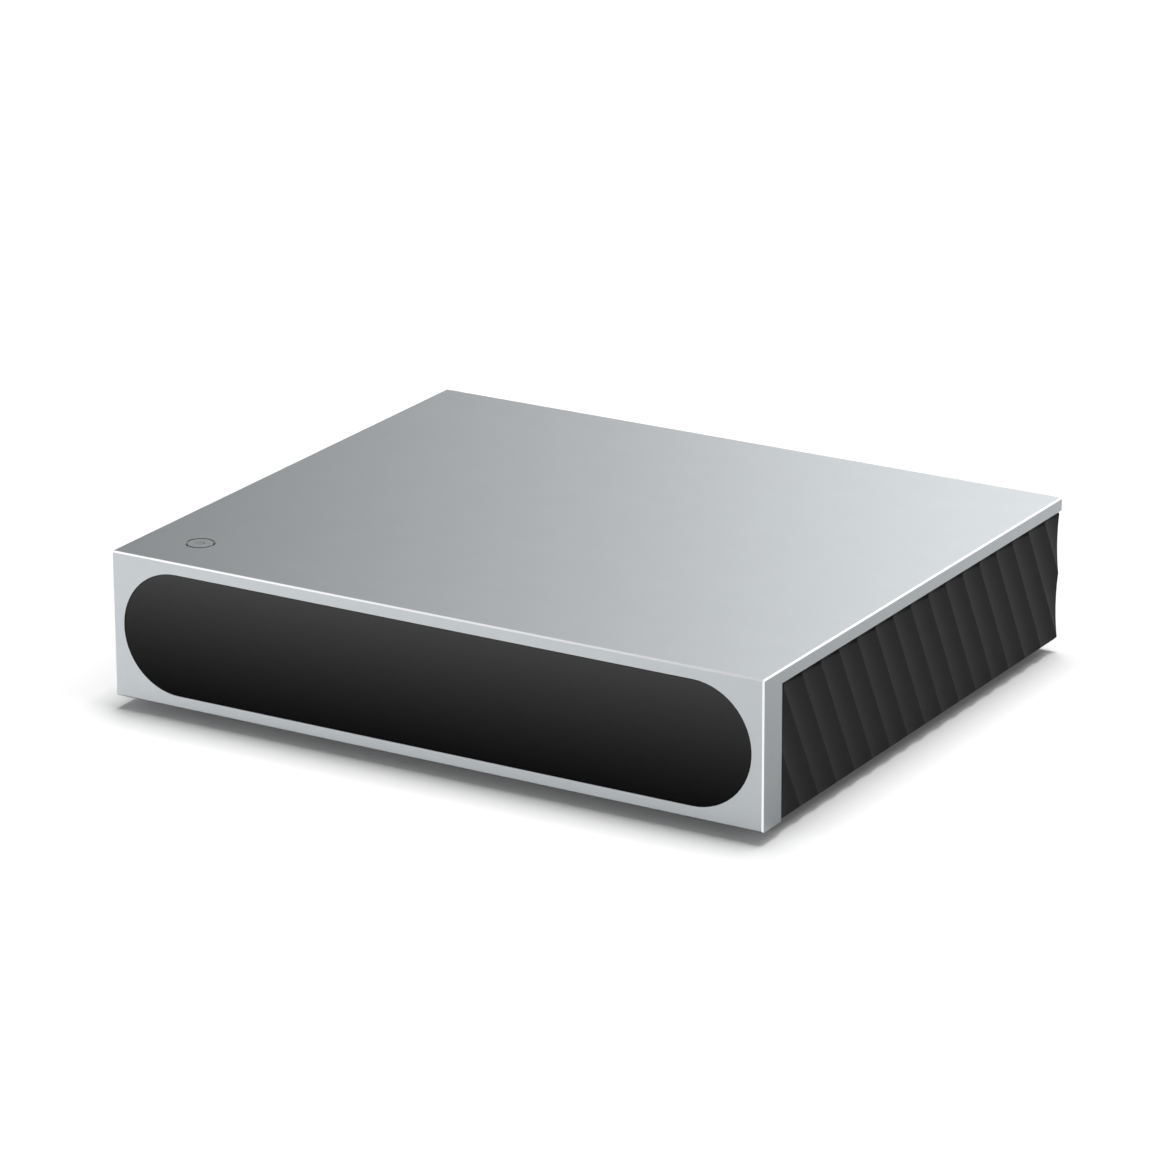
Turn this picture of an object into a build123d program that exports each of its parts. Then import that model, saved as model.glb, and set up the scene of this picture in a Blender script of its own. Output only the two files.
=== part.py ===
"""Network music streamer in a half-width hi-fi case.

The front and the top are one thick piece of machined aluminium. Two black side panels
with slanted flutes shed the heat, a bottom plate on four rubber feet closes the case
from below, and the rear panel carries the sockets. A pill-shaped dark window covers the
display, and one round button sits in the top near the left front corner.

Millimetres. +X is to the right as seen from the front, +Y to the back, +Z up.
The origin lies on the floor, in the middle of the footprint.
"""

import os

from build123d import *

os.makedirs("parts", exist_ok=True)

# Case
width = 218.0
shell_depth = 184.0
shell_height = 45.0
foot_height = 4.0
front_thickness = 10.4
top_thickness = 4.1
edge_chamfer = 0.45
jack_reach = 8.0  # how far the phono jacks stand behind the shell

# Clearances and cuts
fit_gap = 0.1  # between pieces that slot together
thread_gap = 0.05  # round a screw or a pin in its hole
through_gap = 0.2  # round a screw in a plain hole
cut_overrun = 1.0  # how far a cut runs past the face that it opens

# Side panels
sink_setback = 0.3  # the flute crests stand this far inside the shell's side
sink_thickness = 5.7
fluted_thickness = 1.9
flute_depth = 0.6
flute_count = 16
flutes_leaned = 2  # a crest leans back by this many flutes from top to bottom
sink_rear_inset = 0.8
top_reveal = 0.6  # shadow gap under the top
front_reveal = 0.45  # shadow gap behind the front
crest_offset = 0.5  # from the fluted face's front end to its first crest at the top
flute_top_bevel = 0.5
flute_bottom_bevel = 0.65  # a little more than the flutes' depth, so that the lower edge is straight

# Lugs inside the side panels and behind the front
lug_reach = 8.0
lug_height = 6.0
lug_length = 12.0
rear_lug_length = 16.0
lug_shares = (0.3, 0.62)  # lug centres along the inside of the case

# Bottom plate, rear panel and boards
plate_thickness = 2.0
rear_thickness = 2.5
rear_inset = 1.2
board_thickness = 1.6
standoff_height = 6.0

# Screws
screw_radius = 1.5
head_radius = 2.75
head_height = 1.8
small_screw_radius = 1.0
small_head_radius = 1.9
small_head_height = 1.3
socket_width_share = 0.4  # of a head's width
socket_depth_share = 0.6  # of a head's height

# Places that follow from those sizes
half_width = width / 2
front_y = -(shell_depth + jack_reach) / 2
front_back = front_y + front_thickness
rear_edge = front_y + shell_depth
shell_bottom = foot_height
shell_top = foot_height + shell_height
top_under = shell_top - top_thickness
sink_outer = half_width - sink_setback
sink_inner = sink_outer - sink_thickness
sink_rear = rear_edge - sink_rear_inset
rear_face = sink_rear - rear_inset
rear_inner = rear_face - rear_thickness
plate_top = shell_bottom + plate_thickness
board_bottom = plate_top + standoff_height
board_top = board_bottom + board_thickness
inside_length = rear_inner - front_back
lug_x = sink_inner - lug_reach / 2
rear_middle = (shell_bottom + top_under) / 2
left_and_right = (-1, 1)
hexagon_sides = 6


def about(centre, size):
    """The two ends of a span that is centred on a place."""
    return (centre - size / 2, centre + size / 2)


def block(x, y, z, mode=Mode.ADD):
    """A box that spans from the first to the second value of each pair."""
    with Locations(((x[0] + x[1]) / 2, (y[0] + y[1]) / 2, (z[0] + z[1]) / 2)):
        Box(x[1] - x[0], y[1] - y[0], z[1] - z[0], mode=mode)


def bar(start, direction, radius, length, mode=Mode.ADD):
    """A round bar, or a round hole, from a point along a direction."""
    with BuildSketch(Plane(origin=start, z_dir=direction)) as section:
        Circle(radius)
    extrude(section.sketch, amount=length, mode=mode)


def ring(start, direction, radius, bore, length):
    """A tube from a point along a direction."""
    with BuildSketch(Plane(origin=start, z_dir=direction)) as section:
        Circle(radius)
        Circle(bore, mode=Mode.SUBTRACT)
    extrude(section.sketch, amount=length)


def cable(points, radius, bend):
    """A round cable along a route with rounded bends."""
    with BuildLine() as route:
        FilletPolyline(*points, radius=bend)
    with BuildSketch(Plane(route.line @ 0, z_dir=route.line % 0)) as section:
        Circle(radius)
    sweep(section.sketch, path=route.line)


def hexagon_socket(mouth, direction, head, head_size):
    """The socket for a hexagon key in a screw's head, from its mouth along a direction."""
    with BuildSketch(Plane(origin=mouth, z_dir=direction)) as section:
        RegularPolygon(head * socket_width_share, hexagon_sides, major_radius=False)
    extrude(section.sketch, amount=head_size * socket_depth_share, mode=Mode.SUBTRACT)


def pan_screw(seat, direction, length, radius, head, head_size):
    """A pan-head screw. The seat is under its head, and the direction runs down its shank."""
    back = tuple(-part for part in direction)
    bar(seat, direction, radius, length)
    bar(seat, back, head, head_size)
    mouth = tuple(place + part * head_size for place, part in zip(seat, back))
    hexagon_socket(mouth, direction, head, head_size)


def keep(builder, name):
    """Labels a finished piece and writes its file."""
    builder.part.label = name
    export_step(builder.part, f"parts/{name}.step")


def at_depth(y):
    """A plane that faces the front at a given depth. Its own X and Y are the case's X and Z."""
    return Plane.XZ.offset(-y)


# Screws that hold the side panels to the top and to the bottom plate
lug_ys = [front_back + share * inside_length for share in lug_shares]
rear_lug_screw_share = 0.25
rear_lug_y = rear_inner - rear_lug_length * (1 - rear_lug_screw_share)
top_screw_ys = [*lug_ys, rear_lug_y]
top_screw_grip = 2.6  # how far a screw reaches into the top
top_hole_depth = 3.0
bottom_screw_grip = 5.0
front_lug_y = front_back + lug_reach / 2

# Window in the front
window_margin = 3.7
lens_thickness = 2.2
lens_recess = 0.08
lens_gap = 0.08
tape_thickness = 0.3
tape_width = 3.0
lens_bevel = 0.15
window_length = width - 2 * window_margin
window_height = shell_height - 2 * window_margin
window_middle = shell_bottom + shell_height / 2
window_floor = front_y + lens_recess + lens_thickness + tape_thickness

# Display behind the window
opening_width = 104.0
opening_height = 25.0
display_lip = 3.5  # how far the display's pocket runs past the opening
display_ledge = 2.0
pocket_corner = 1.0
pocket_width = opening_width + 2 * display_lip
pocket_height = opening_height + 2 * display_lip
ledge_back = window_floor + display_ledge
display_board_margin = 7.0
display_board_width = pocket_width + 2 * display_board_margin
display_board_screw_inset = 3.5
front_lug_gap = 4.0  # between the display's board and the lugs beside it
front_lug_x = display_board_width / 2 + front_lug_gap + lug_length / 2
bottom_screw_places = [
    *[(side * lug_x, y) for side in left_and_right for y in top_screw_ys],
    *[(side * front_lug_x, front_lug_y) for side in left_and_right],
]
display_screw_x = display_board_width / 2 - display_board_screw_inset
display_screw_z = pocket_height / 2 - display_board_screw_inset
display_screw_places = [
    (side * display_screw_x, window_middle + level * display_screw_z)
    for side in left_and_right
    for level in left_and_right
]
display_screw_grip = 3.5
receiver_radius = 2.6
receiver_wall = 1.6  # between the display's pocket and the receiver's hole
receiver_x = -(pocket_width / 2 + receiver_wall + receiver_radius)

# Button in the top
button_inset = 18.65  # from the shell's left side and from its front
button_radius = 4.1
button_gap = 0.12
button_bevel = 0.35  # width of the slopes on the cap and on the rim of its hole, which make a ring groove
button_bevel_depth = 0.55
button_thickness = 2.0
button_travel = 0.5
button_stop_gap = 0.3
stem_radius = 2.0
stem_gap = 0.06
button_x = -half_width + button_inset
button_y = front_y + button_inset
cap_bottom = shell_top - button_thickness
cap_seat = cap_bottom - button_travel - button_stop_gap
clip_thickness = 0.6
clip_radius = 3.6
clip_gap = 0.1
stem_below = 1.7  # how far the stem reaches below the top
stem_end = top_under - stem_below
plunger_rise = 0.8
switch_height = 3.0
switch_width = 6.0
switch_board_thickness = 1.2
switch_board_top = stem_end - plunger_rise - switch_height
switch_board_length = 21.0
switch_board_width = 12.0
boss_radius = 2.4
boss_spacing = 15.0
boss_hole_depth = 4.0
boss_screw_grip = 3.2

with BuildPart() as top_shell:
    with BuildSketch(Plane.YZ):
        with BuildLine():
            Polyline(
                (front_y, shell_bottom),
                (front_y, shell_top),
                (rear_edge, shell_top),
                (rear_edge, top_under),
                (front_back, top_under),
                (front_back, shell_bottom),
                close=True,
            )
        make_face()
    extrude(amount=half_width, both=True)
    top_face_edges = top_shell.faces().sort_by(Axis.Z)[-1].edges()
    front_face_edges = top_shell.faces().sort_by(Axis.Y)[0].edges()
    outer_edges = ShapeList(set(top_face_edges) | set(front_face_edges))
    chamfer(outer_edges, length=edge_chamfer)
    # Seat of the window, the display's opening and the display's pocket
    with BuildSketch(at_depth(front_y)):
        with Locations((0, window_middle)):
            SlotOverall(window_length, window_height)
    extrude(amount=-(window_floor - front_y), mode=Mode.SUBTRACT)
    with BuildSketch(at_depth(window_floor)):
        with Locations((0, window_middle)):
            RectangleRounded(opening_width, opening_height, pocket_corner)
    extrude(amount=-front_thickness, mode=Mode.SUBTRACT)
    with BuildSketch(at_depth(ledge_back)):
        with Locations((0, window_middle)):
            RectangleRounded(pocket_width, pocket_height, pocket_corner)
    extrude(amount=-front_thickness, mode=Mode.SUBTRACT)
    bar((receiver_x, window_floor, window_middle), (0, 1, 0), receiver_radius, front_thickness, Mode.SUBTRACT)
    for x, z in display_screw_places:
        bar(
            (x, front_back, z),
            (0, -1, 0),
            small_screw_radius + thread_gap,
            display_screw_grip + cut_overrun / 2,
            Mode.SUBTRACT,
        )
    # Lugs that take the bottom plate's front screws
    for side in left_and_right:
        block(
            about(side * front_lug_x, lug_length),
            (front_back - cut_overrun, front_back + lug_reach),
            (plate_top, plate_top + lug_height),
        )
        bar(
            (side * front_lug_x, front_lug_y, plate_top),
            (0, 0, 1),
            screw_radius + thread_gap,
            bottom_screw_grip,
            Mode.SUBTRACT,
        )
    # Blind holes for the side panels' screws
    for side in left_and_right:
        for y in top_screw_ys:
            bar(
                (side * lug_x, y, top_under),
                (0, 0, 1),
                screw_radius + thread_gap,
                top_hole_depth,
                Mode.SUBTRACT,
            )
    # Bosses for the switch board, and the button's stepped hole
    for side in left_and_right:
        boss_x = button_x + side * boss_spacing / 2
        bar((boss_x, button_y, switch_board_top), (0, 0, 1), boss_radius, top_under - switch_board_top)
        bar(
            (boss_x, button_y, switch_board_top),
            (0, 0, 1),
            small_screw_radius + thread_gap,
            boss_hole_depth,
            Mode.SUBTRACT,
        )
    bar(
        (button_x, button_y, cap_seat),
        (0, 0, 1),
        button_radius + button_gap,
        button_thickness + top_thickness,
        Mode.SUBTRACT,
    )
    bar((button_x, button_y, top_under), (0, 0, 1), stem_radius + stem_gap, top_thickness, Mode.SUBTRACT)
    with Locations((button_x, button_y, shell_top - button_bevel_depth / 2)):
        Cone(
            button_radius + button_gap,
            button_radius + button_gap + button_bevel,
            button_bevel_depth,
            mode=Mode.SUBTRACT,
        )
keep(top_shell, "top_shell")

with BuildPart() as front_lens:
    with BuildSketch(at_depth(front_y + lens_recess)):
        with Locations((0, window_middle)):
            SlotOverall(window_length - 2 * lens_gap, window_height - 2 * lens_gap)
    extrude(amount=-lens_thickness)
    chamfer(front_lens.faces().sort_by(Axis.Y)[0].edges(), length=lens_bevel)
keep(front_lens, "front_lens")

with BuildPart() as lens_tape:
    with BuildSketch(at_depth(window_floor)):
        with Locations((0, window_middle)):
            SlotOverall(window_length - 2 * lens_gap, window_height - 2 * lens_gap)
            SlotOverall(
                window_length - 2 * tape_width,
                window_height - 2 * tape_width,
                mode=Mode.SUBTRACT,
            )
    extrude(amount=tape_thickness)
keep(lens_tape, "lens_tape")

# Display: a glass panel in a tray, held in its pocket by the board behind it
tray_wall = 0.6
panel_thickness = 2.0
tray_front = ledge_back
tray_back = front_back

with BuildPart() as display_panel:
    block(
        about(0, pocket_width - 2 * (fit_gap + tray_wall + fit_gap)),
        (tray_front, tray_front + panel_thickness),
        about(window_middle, pocket_height - 2 * (fit_gap + tray_wall + fit_gap)),
    )
keep(display_panel, "display_panel")

with BuildPart() as display_tray:
    with BuildSketch(at_depth(tray_front)):
        with Locations((0, window_middle)):
            RectangleRounded(pocket_width - 2 * fit_gap, pocket_height - 2 * fit_gap, pocket_corner)
    extrude(amount=-(tray_back - tray_front))
    block(
        about(0, pocket_width - 2 * (fit_gap + tray_wall)),
        (tray_front - cut_overrun, tray_front + panel_thickness),
        about(window_middle, pocket_height - 2 * (fit_gap + tray_wall)),
        Mode.SUBTRACT,
    )
    # Hollow behind the panel, which leaves a rim that presses the panel forward
    block(
        about(0, opening_width),
        (tray_front, tray_back + cut_overrun),
        about(window_middle, opening_height),
        Mode.SUBTRACT,
    )
keep(display_tray, "display_tray")

display_board_thickness = 1.2
display_board_back = front_back + display_board_thickness
display_socket_width = 16.0
display_socket_height = 3.0
display_socket_depth = 2.4
display_socket_z = window_middle - opening_height / 4
receiver_body_width = 3.5

with BuildPart() as display_board:
    block(
        about(0, display_board_width),
        (front_back, display_board_back),
        about(window_middle, pocket_height),
    )
    for x, z in display_screw_places:
        bar(
            (x, front_back, z),
            (0, 1, 0),
            small_screw_radius + through_gap,
            display_board_thickness,
            Mode.SUBTRACT,
        )
    # Socket for the ribbon on the back
    block(
        about(0, display_socket_width),
        (display_board_back, display_board_back + display_socket_depth),
        about(display_socket_z, display_socket_height),
    )
keep(display_board, "display_board")

with BuildPart() as remote_receiver:
    block(
        about(receiver_x, receiver_body_width),
        (window_floor + tape_thickness, front_back),
        about(window_middle, receiver_body_width),
    )
keep(remote_receiver, "remote_receiver")

# Standby button: cap and stem, light pipe, retaining clip, switch and its small board
light_radius = 1.45
clip_top = top_under - clip_gap
clip_groove_depth = 0.4

with BuildPart() as power_button:
    bar((button_x, button_y, cap_bottom), (0, 0, 1), button_radius, button_thickness - button_bevel_depth)
    with Locations((button_x, button_y, shell_top - button_bevel_depth / 2)):
        Cone(button_radius, button_radius - button_bevel, button_bevel_depth)
    bar((button_x, button_y, stem_end), (0, 0, 1), stem_radius, cap_bottom - stem_end)
    with BuildSketch(Plane((button_x, button_y, clip_top - clip_thickness))) as groove:
        Circle(stem_radius + cut_overrun)
        Circle(stem_radius - clip_groove_depth, mode=Mode.SUBTRACT)
    extrude(groove.sketch, amount=clip_thickness, mode=Mode.SUBTRACT)
    bar((button_x, button_y, cap_bottom), (0, 0, 1), light_radius, button_thickness, Mode.SUBTRACT)
keep(power_button, "power_button")

with BuildPart() as button_light_pipe:
    bar(
        (button_x, button_y, cap_bottom),
        (0, 0, 1),
        light_radius - thread_gap,
        button_thickness - lens_recess,
    )
keep(button_light_pipe, "button_light_pipe")

clip_bottom = clip_top - clip_thickness + thread_gap
with BuildPart() as button_clip:
    with BuildSketch(Plane((button_x, button_y, clip_bottom))):
        Circle(clip_radius)
        Circle(stem_radius - clip_groove_depth + thread_gap, mode=Mode.SUBTRACT)
        with Locations((clip_radius, 0)):
            Rectangle(2 * clip_radius, stem_radius, mode=Mode.SUBTRACT)
    extrude(amount=clip_thickness - 2 * thread_gap)
keep(button_clip, "button_clip")

plunger_radius = 1.6
plunger_gap = 0.06
plunger_well = 1.5
plunger_end_gap = 0.2
switch_top = switch_board_top + switch_height

with BuildPart() as button_switch:
    block(
        about(button_x, switch_width),
        about(button_y, switch_width),
        (switch_board_top, switch_top),
    )
    bar(
        (button_x, button_y, switch_top),
        (0, 0, -1),
        plunger_radius + plunger_gap,
        plunger_well,
        Mode.SUBTRACT,
    )
keep(button_switch, "button_switch")

with BuildPart() as switch_plunger:
    plunger_foot = switch_top - plunger_well + button_travel + plunger_end_gap
    bar((button_x, button_y, plunger_foot), (0, 0, 1), plunger_radius, stem_end - plunger_foot)
keep(switch_plunger, "switch_plunger")

switch_socket = 5.0
switch_socket_height = 2.0
switch_board_bottom = switch_board_top - switch_board_thickness
switch_socket_y = button_y + switch_board_width / 4

with BuildPart() as switch_board:
    block(
        about(button_x, switch_board_length),
        about(button_y, switch_board_width),
        (switch_board_bottom, switch_board_top),
    )
    for side in left_and_right:
        bar(
            (button_x + side * boss_spacing / 2, button_y, switch_board_bottom),
            (0, 0, 1),
            small_screw_radius + through_gap,
            switch_board_thickness,
            Mode.SUBTRACT,
        )
    block(
        about(button_x, switch_socket),
        about(switch_socket_y, switch_socket),
        (switch_board_bottom - switch_socket_height, switch_board_bottom),
    )
keep(switch_board, "switch_board")

with BuildPart() as small_screws:
    for x, z in display_screw_places:
        pan_screw(
            (x, display_board_back, z),
            (0, -1, 0),
            display_board_thickness + display_screw_grip,
            small_screw_radius,
            small_head_radius,
            small_head_height,
        )
    for side in left_and_right:
        pan_screw(
            (button_x + side * boss_spacing / 2, button_y, switch_board_bottom),
            (0, 0, 1),
            switch_board_thickness + boss_screw_grip,
            small_screw_radius,
            small_head_radius,
            small_head_height,
        )
keep(small_screws, "small_screws")

# Side panels. The flutes are cut along a slanted direction, with a sharp crest between each two.
sink_body = sink_outer - fluted_thickness
sink_top = top_under
fluted_top = top_under - top_reveal
fluted_front = front_back + front_reveal
fluted_height = fluted_top - shell_bottom
flute_pitch = (sink_rear - fluted_front) / flute_count
lean = flutes_leaned * flute_pitch / fluted_height
bridge_screw_grip = 3.5
processor_shares = (0.62, 0.3)  # across and along the main board

# Main board, from the middle of the case to the right side panel
lug_gap = 2.0  # between the lugs and the boards
side_room = lug_reach + lug_gap
board_split_share = -0.34  # of the inner half width
boards_apart = 3.0
board_front_room = 24.0
board_rear_gap = 0.6
board_left = board_split_share * sink_inner + boards_apart / 2
board_right = sink_inner - side_room
board_front = front_back + board_front_room
board_rear = rear_inner - board_rear_gap
board_span_x = board_right - board_left
board_span_y = board_rear - board_front


def on_board(shares):
    """A place on the main board, from shares of its width and its depth."""
    return (board_left + shares[0] * board_span_x, board_front + shares[1] * board_span_y)


processor_size = 17.0
processor_height = 1.6
pad_thickness = 0.8
bridge_width = 22.0
bridge_thickness = 3.0
bridge_foot_height = 18.0
bridge_screw_spacing = 12.0
processor_x, processor_y = on_board(processor_shares)
bridge_bottom = board_top + processor_height + pad_thickness
bridge_top = bridge_bottom + bridge_thickness
bridge_screw_z = bridge_top + (bridge_foot_height - bridge_thickness) / 2
bridge_screw_ys = [processor_y + side * bridge_screw_spacing / 2 for side in left_and_right]

with BuildPart() as right_heat_sink:
    with BuildSketch(Plane.XY.offset(shell_bottom)):
        first_crest = fluted_front + crest_offset - flute_pitch * flute_count
        crests = [first_crest + number * flute_pitch for number in range(3 * flute_count)]
        with BuildLine():
            for crest in crests:
                ThreePointArc(
                    (sink_outer, crest),
                    (sink_outer - flute_depth, crest + flute_pitch / 2),
                    (sink_outer, crest + flute_pitch),
                )
            Polyline(
                (sink_outer, crests[-1] + flute_pitch),
                (sink_body - cut_overrun, crests[-1] + flute_pitch),
                (sink_body - cut_overrun, crests[0]),
                (sink_outer, crests[0]),
            )
        make_face()
    extrude(amount=fluted_height * (1 + lean**2) ** 0.5, dir=(0, -lean, 1))
    block(
        (sink_body - cut_overrun, sink_outer + cut_overrun),
        (fluted_front, sink_rear),
        (shell_bottom, fluted_top),
        Mode.INTERSECT,
    )
    # Bevels along the lower and the upper edge of the fluted face
    with BuildSketch(at_depth(sink_rear)):
        for edge_z, inwards, bevel in (
            (shell_bottom, 1, flute_bottom_bevel),
            (fluted_top, -1, flute_top_bevel),
        ):
            with BuildLine():
                Polyline(
                    (sink_outer - bevel - cut_overrun, edge_z - inwards * cut_overrun),
                    (sink_outer + cut_overrun, edge_z + inwards * (bevel + cut_overrun)),
                    (sink_outer + cut_overrun, edge_z - inwards * cut_overrun),
                    close=True,
                )
            make_face()
    extrude(amount=sink_rear - fluted_front, mode=Mode.SUBTRACT)
    block((sink_inner, sink_body), (front_back, sink_rear), (shell_bottom, sink_top))
    # Lugs along the top and the bottom, and the longer pair that takes the rear panel's screws
    lug_spans = [about(y, lug_length) for y in lug_ys]
    lug_spans.append((rear_inner - rear_lug_length, rear_inner))
    for span in lug_spans:
        block((sink_inner - lug_reach, sink_inner), span, (plate_top, plate_top + lug_height))
        block((sink_inner - lug_reach, sink_inner), span, (top_under - lug_height, top_under))
    for y in top_screw_ys:
        bar((lug_x, y, plate_top), (0, 0, 1), screw_radius + thread_gap, bottom_screw_grip, Mode.SUBTRACT)
        bar(
            (lug_x, y, top_under - lug_height),
            (0, 0, 1),
            screw_radius + through_gap,
            lug_height,
            Mode.SUBTRACT,
        )
    for z in (plate_top + lug_height / 2, top_under - lug_height / 2):
        bar(
            (lug_x, rear_inner, z),
            (0, -1, 0),
            screw_radius + thread_gap,
            bottom_screw_grip,
            Mode.SUBTRACT,
        )
    plain_sink = right_heat_sink.part
    # Holes for the heat bridge
    for y in bridge_screw_ys:
        bar(
            (sink_inner, y, bridge_screw_z),
            (1, 0, 0),
            screw_radius + thread_gap,
            bridge_screw_grip,
            Mode.SUBTRACT,
        )
keep(right_heat_sink, "right_heat_sink")

with BuildPart() as left_heat_sink:
    mirror(plain_sink, about=Plane.YZ)
keep(left_heat_sink, "left_heat_sink")

# Bottom plate, its screws and the feet
foot_radius = 11.0
foot_taper = 1.0
foot_inset = 24.0  # from the shell's sides, front and rear
foot_recess_radius = 4.0
foot_web = 1.8  # rubber between the screw's head and the plate
sink_cone_height = 1.5
foot_spots = {
    f"{row}_{name}": (side * (half_width - foot_inset), y)
    for row, y in (("front", front_y + foot_inset), ("rear", rear_edge - foot_inset))
    for name, side in (("left", -1), ("right", 1))
}
vent_length = 24.0
vent_width = 2.0
vent_pitch = 8.0
vent_rows_apart = 34.0
vent_count = 7
vent_rows = 2
along_depth = 90
vent_x_shares = (-0.62, 0.28)  # of the inner half width

with BuildPart() as bottom_plate:
    block(
        (-(sink_inner - fit_gap), sink_inner - fit_gap),
        (front_back + fit_gap, rear_inner - fit_gap),
        (shell_bottom, plate_top),
    )
    for x, y in bottom_screw_places:
        bar((x, y, shell_bottom), (0, 0, 1), screw_radius + through_gap, plate_thickness, Mode.SUBTRACT)
        with Locations((x, y, shell_bottom + sink_cone_height / 2)):
            Cone(
                head_radius + through_gap,
                screw_radius + through_gap,
                sink_cone_height,
                mode=Mode.SUBTRACT,
            )
    for x, y in foot_spots.values():
        bar((x, y, shell_bottom), (0, 0, 1), screw_radius + through_gap, plate_thickness, Mode.SUBTRACT)
    for share in vent_x_shares:
        with BuildSketch(Plane.XY.offset(shell_bottom)):
            with Locations((share * sink_inner, (front_back + rear_inner) / 2)):
                with GridLocations(vent_pitch, vent_rows_apart, vent_count, vent_rows):
                    SlotOverall(vent_length, vent_width, rotation=along_depth)
        extrude(amount=plate_thickness, mode=Mode.SUBTRACT)
keep(bottom_plate, "bottom_plate")

with BuildPart() as bottom_screws:
    for x, y in bottom_screw_places:
        with Locations((x, y, shell_bottom + sink_cone_height / 2)):
            Cone(head_radius, screw_radius, sink_cone_height)
        bar(
            (x, y, shell_bottom),
            (0, 0, 1),
            screw_radius,
            plate_thickness + bottom_screw_grip - through_gap,
        )
        hexagon_socket((x, y, shell_bottom), (0, 0, 1), head_radius, sink_cone_height)
keep(bottom_screws, "bottom_screws")

for spot, (x, y) in foot_spots.items():
    with BuildPart() as foot:
        with Locations((x, y, foot_height / 2)):
            Cone(foot_radius - foot_taper, foot_radius, foot_height)
        bar((x, y, 0), (0, 0, 1), foot_recess_radius, foot_height - foot_web, Mode.SUBTRACT)
        bar((x, y, 0), (0, 0, 1), screw_radius + through_gap, foot_height, Mode.SUBTRACT)
    keep(foot, f"foot_{spot}")

with BuildPart() as foot_screws:
    for x, y in foot_spots.values():
        pan_screw(
            (x, y, foot_height - foot_web),
            (0, 0, 1),
            foot_web + plate_thickness,
            screw_radius,
            head_radius,
            head_height,
        )
keep(foot_screws, "foot_screws")

# Sockets in the rear panel
jack_lip = 0.8  # how far a socket's mouth stands out of the rear panel

inlet_flange_width = 31.0
inlet_flange_height = 24.0
flange_thickness = 1.5
flange_corner = 3.0
inlet_body_width = 27.4
inlet_body_height = 19.8
inlet_body_depth = 20.0
inlet_cavity_width = 24.2
inlet_cavity_height = 16.4
inlet_cavity_depth = 15.5
inlet_key = 4.0  # cut corners of the cavity
flange_face = rear_face + flange_thickness

rocker_flange_width = 15.0
rocker_flange_height = 21.0
rocker_body_width = 12.8
rocker_body_height = 18.8
rocker_body_depth = 12.0
rocker_radius = 8.1
rocker_width = 10.2
rocker_gap = 0.3
rocker_pivot_depth = 2.0  # behind the flange's face
rocker_floor = 5.2  # below the pivot

trigger_nose_radius = 3.4
trigger_bore = 1.8
trigger_bore_length = 13.0
trigger_body_width = 12.0
trigger_body_height = 10.0
trigger_body_depth = 13.0

usb_width = 13.1
usb_height = 15.6
usb_depth = 17.5
port_width = 12.4
port_height = 5.2
port_depth = 14.0

network_width = 16.0
network_height = 13.4
network_depth = 21.4

link_width = 15.2
link_height = 6.2
link_depth = 11.5

optical_width = 10.0
optical_height = 10.0
optical_depth = 13.5

phono_rise = 9.5
phono_z = board_top + phono_rise
phono_radius = 4.15
phono_flange_radius = 5.6
phono_flange_thickness = 1.2
phono_panel_gap = 0.35
phono_end = rear_edge + jack_reach

antenna_rise = 4.0  # above the middle of the rear panel
antenna_z = rear_middle + antenna_rise
antenna_radius = 3.175
antenna_hex = 8.0

# The sockets stand in a row from left to right, and share out the room that they leave
row_widths = [
    antenna_hex,
    inlet_flange_width,
    rocker_flange_width,
    trigger_body_width,
    usb_width,
    network_width,
    link_width,
    optical_width,
    *[2 * phono_flange_radius] * 3,
    antenna_hex,
]
gap_shares = [0.085, 0.083, 0.062, 0.161, 0.066, 0.09, 0.078, 0.053, 0.052, 0.061, 0.061, 0.063]
row_spare = 2 * sink_inner - sum(row_widths)
row_end = -sink_inner
row_xs = []
for row_width, gap_share in zip(row_widths, gap_shares):
    row_end += gap_share * row_spare + row_width
    row_xs.append(row_end - row_width / 2)
left_antenna_x, inlet_x, rocker_x, trigger_x, usb_x, network_x = row_xs[:6]
link_x, optical_x, coax_x, left_phono_x, right_phono_x, right_antenna_x = row_xs[6:]
phono_xs = {"coax": coax_x, "left_phono": left_phono_x, "right_phono": right_phono_x}
antenna_xs = {"left": left_antenna_x, "right": right_antenna_x}

with BuildPart() as rear_panel:
    block(
        (-(sink_inner - fit_gap), sink_inner - fit_gap),
        (rear_inner, rear_face),
        (shell_bottom, top_under - fit_gap),
    )
    cut_y = (rear_inner - cut_overrun, rear_face + cut_overrun)
    block(
        about(inlet_x, inlet_body_width + 2 * fit_gap),
        cut_y,
        about(rear_middle, inlet_body_height + 2 * fit_gap),
        Mode.SUBTRACT,
    )
    block(
        about(rocker_x, rocker_body_width + 2 * fit_gap),
        cut_y,
        about(rear_middle, rocker_body_height + 2 * fit_gap),
        Mode.SUBTRACT,
    )
    for x, socket_width, socket_height in (
        (usb_x, usb_width, usb_height),
        (network_x, network_width, network_height),
        (link_x, link_width, link_height),
        (optical_x, optical_width, optical_height),
    ):
        block(
            about(x, socket_width + 2 * fit_gap),
            cut_y,
            (board_top - fit_gap, board_top + socket_height + fit_gap),
            Mode.SUBTRACT,
        )
    rear_holes = [
        (trigger_x, board_top + trigger_body_height / 2, trigger_nose_radius + fit_gap),
        *[(x, phono_z, phono_radius + phono_panel_gap) for x in phono_xs.values()],
        *[(x, antenna_z, antenna_radius + fit_gap) for x in antenna_xs.values()],
        *[
            (side * lug_x, z, screw_radius + through_gap)
            for side in left_and_right
            for z in (plate_top + lug_height / 2, top_under - lug_height / 2)
        ],
    ]
    for x, z, radius in rear_holes:
        bar((x, rear_inner, z), (0, 1, 0), radius, rear_thickness, Mode.SUBTRACT)
keep(rear_panel, "rear_panel")

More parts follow.
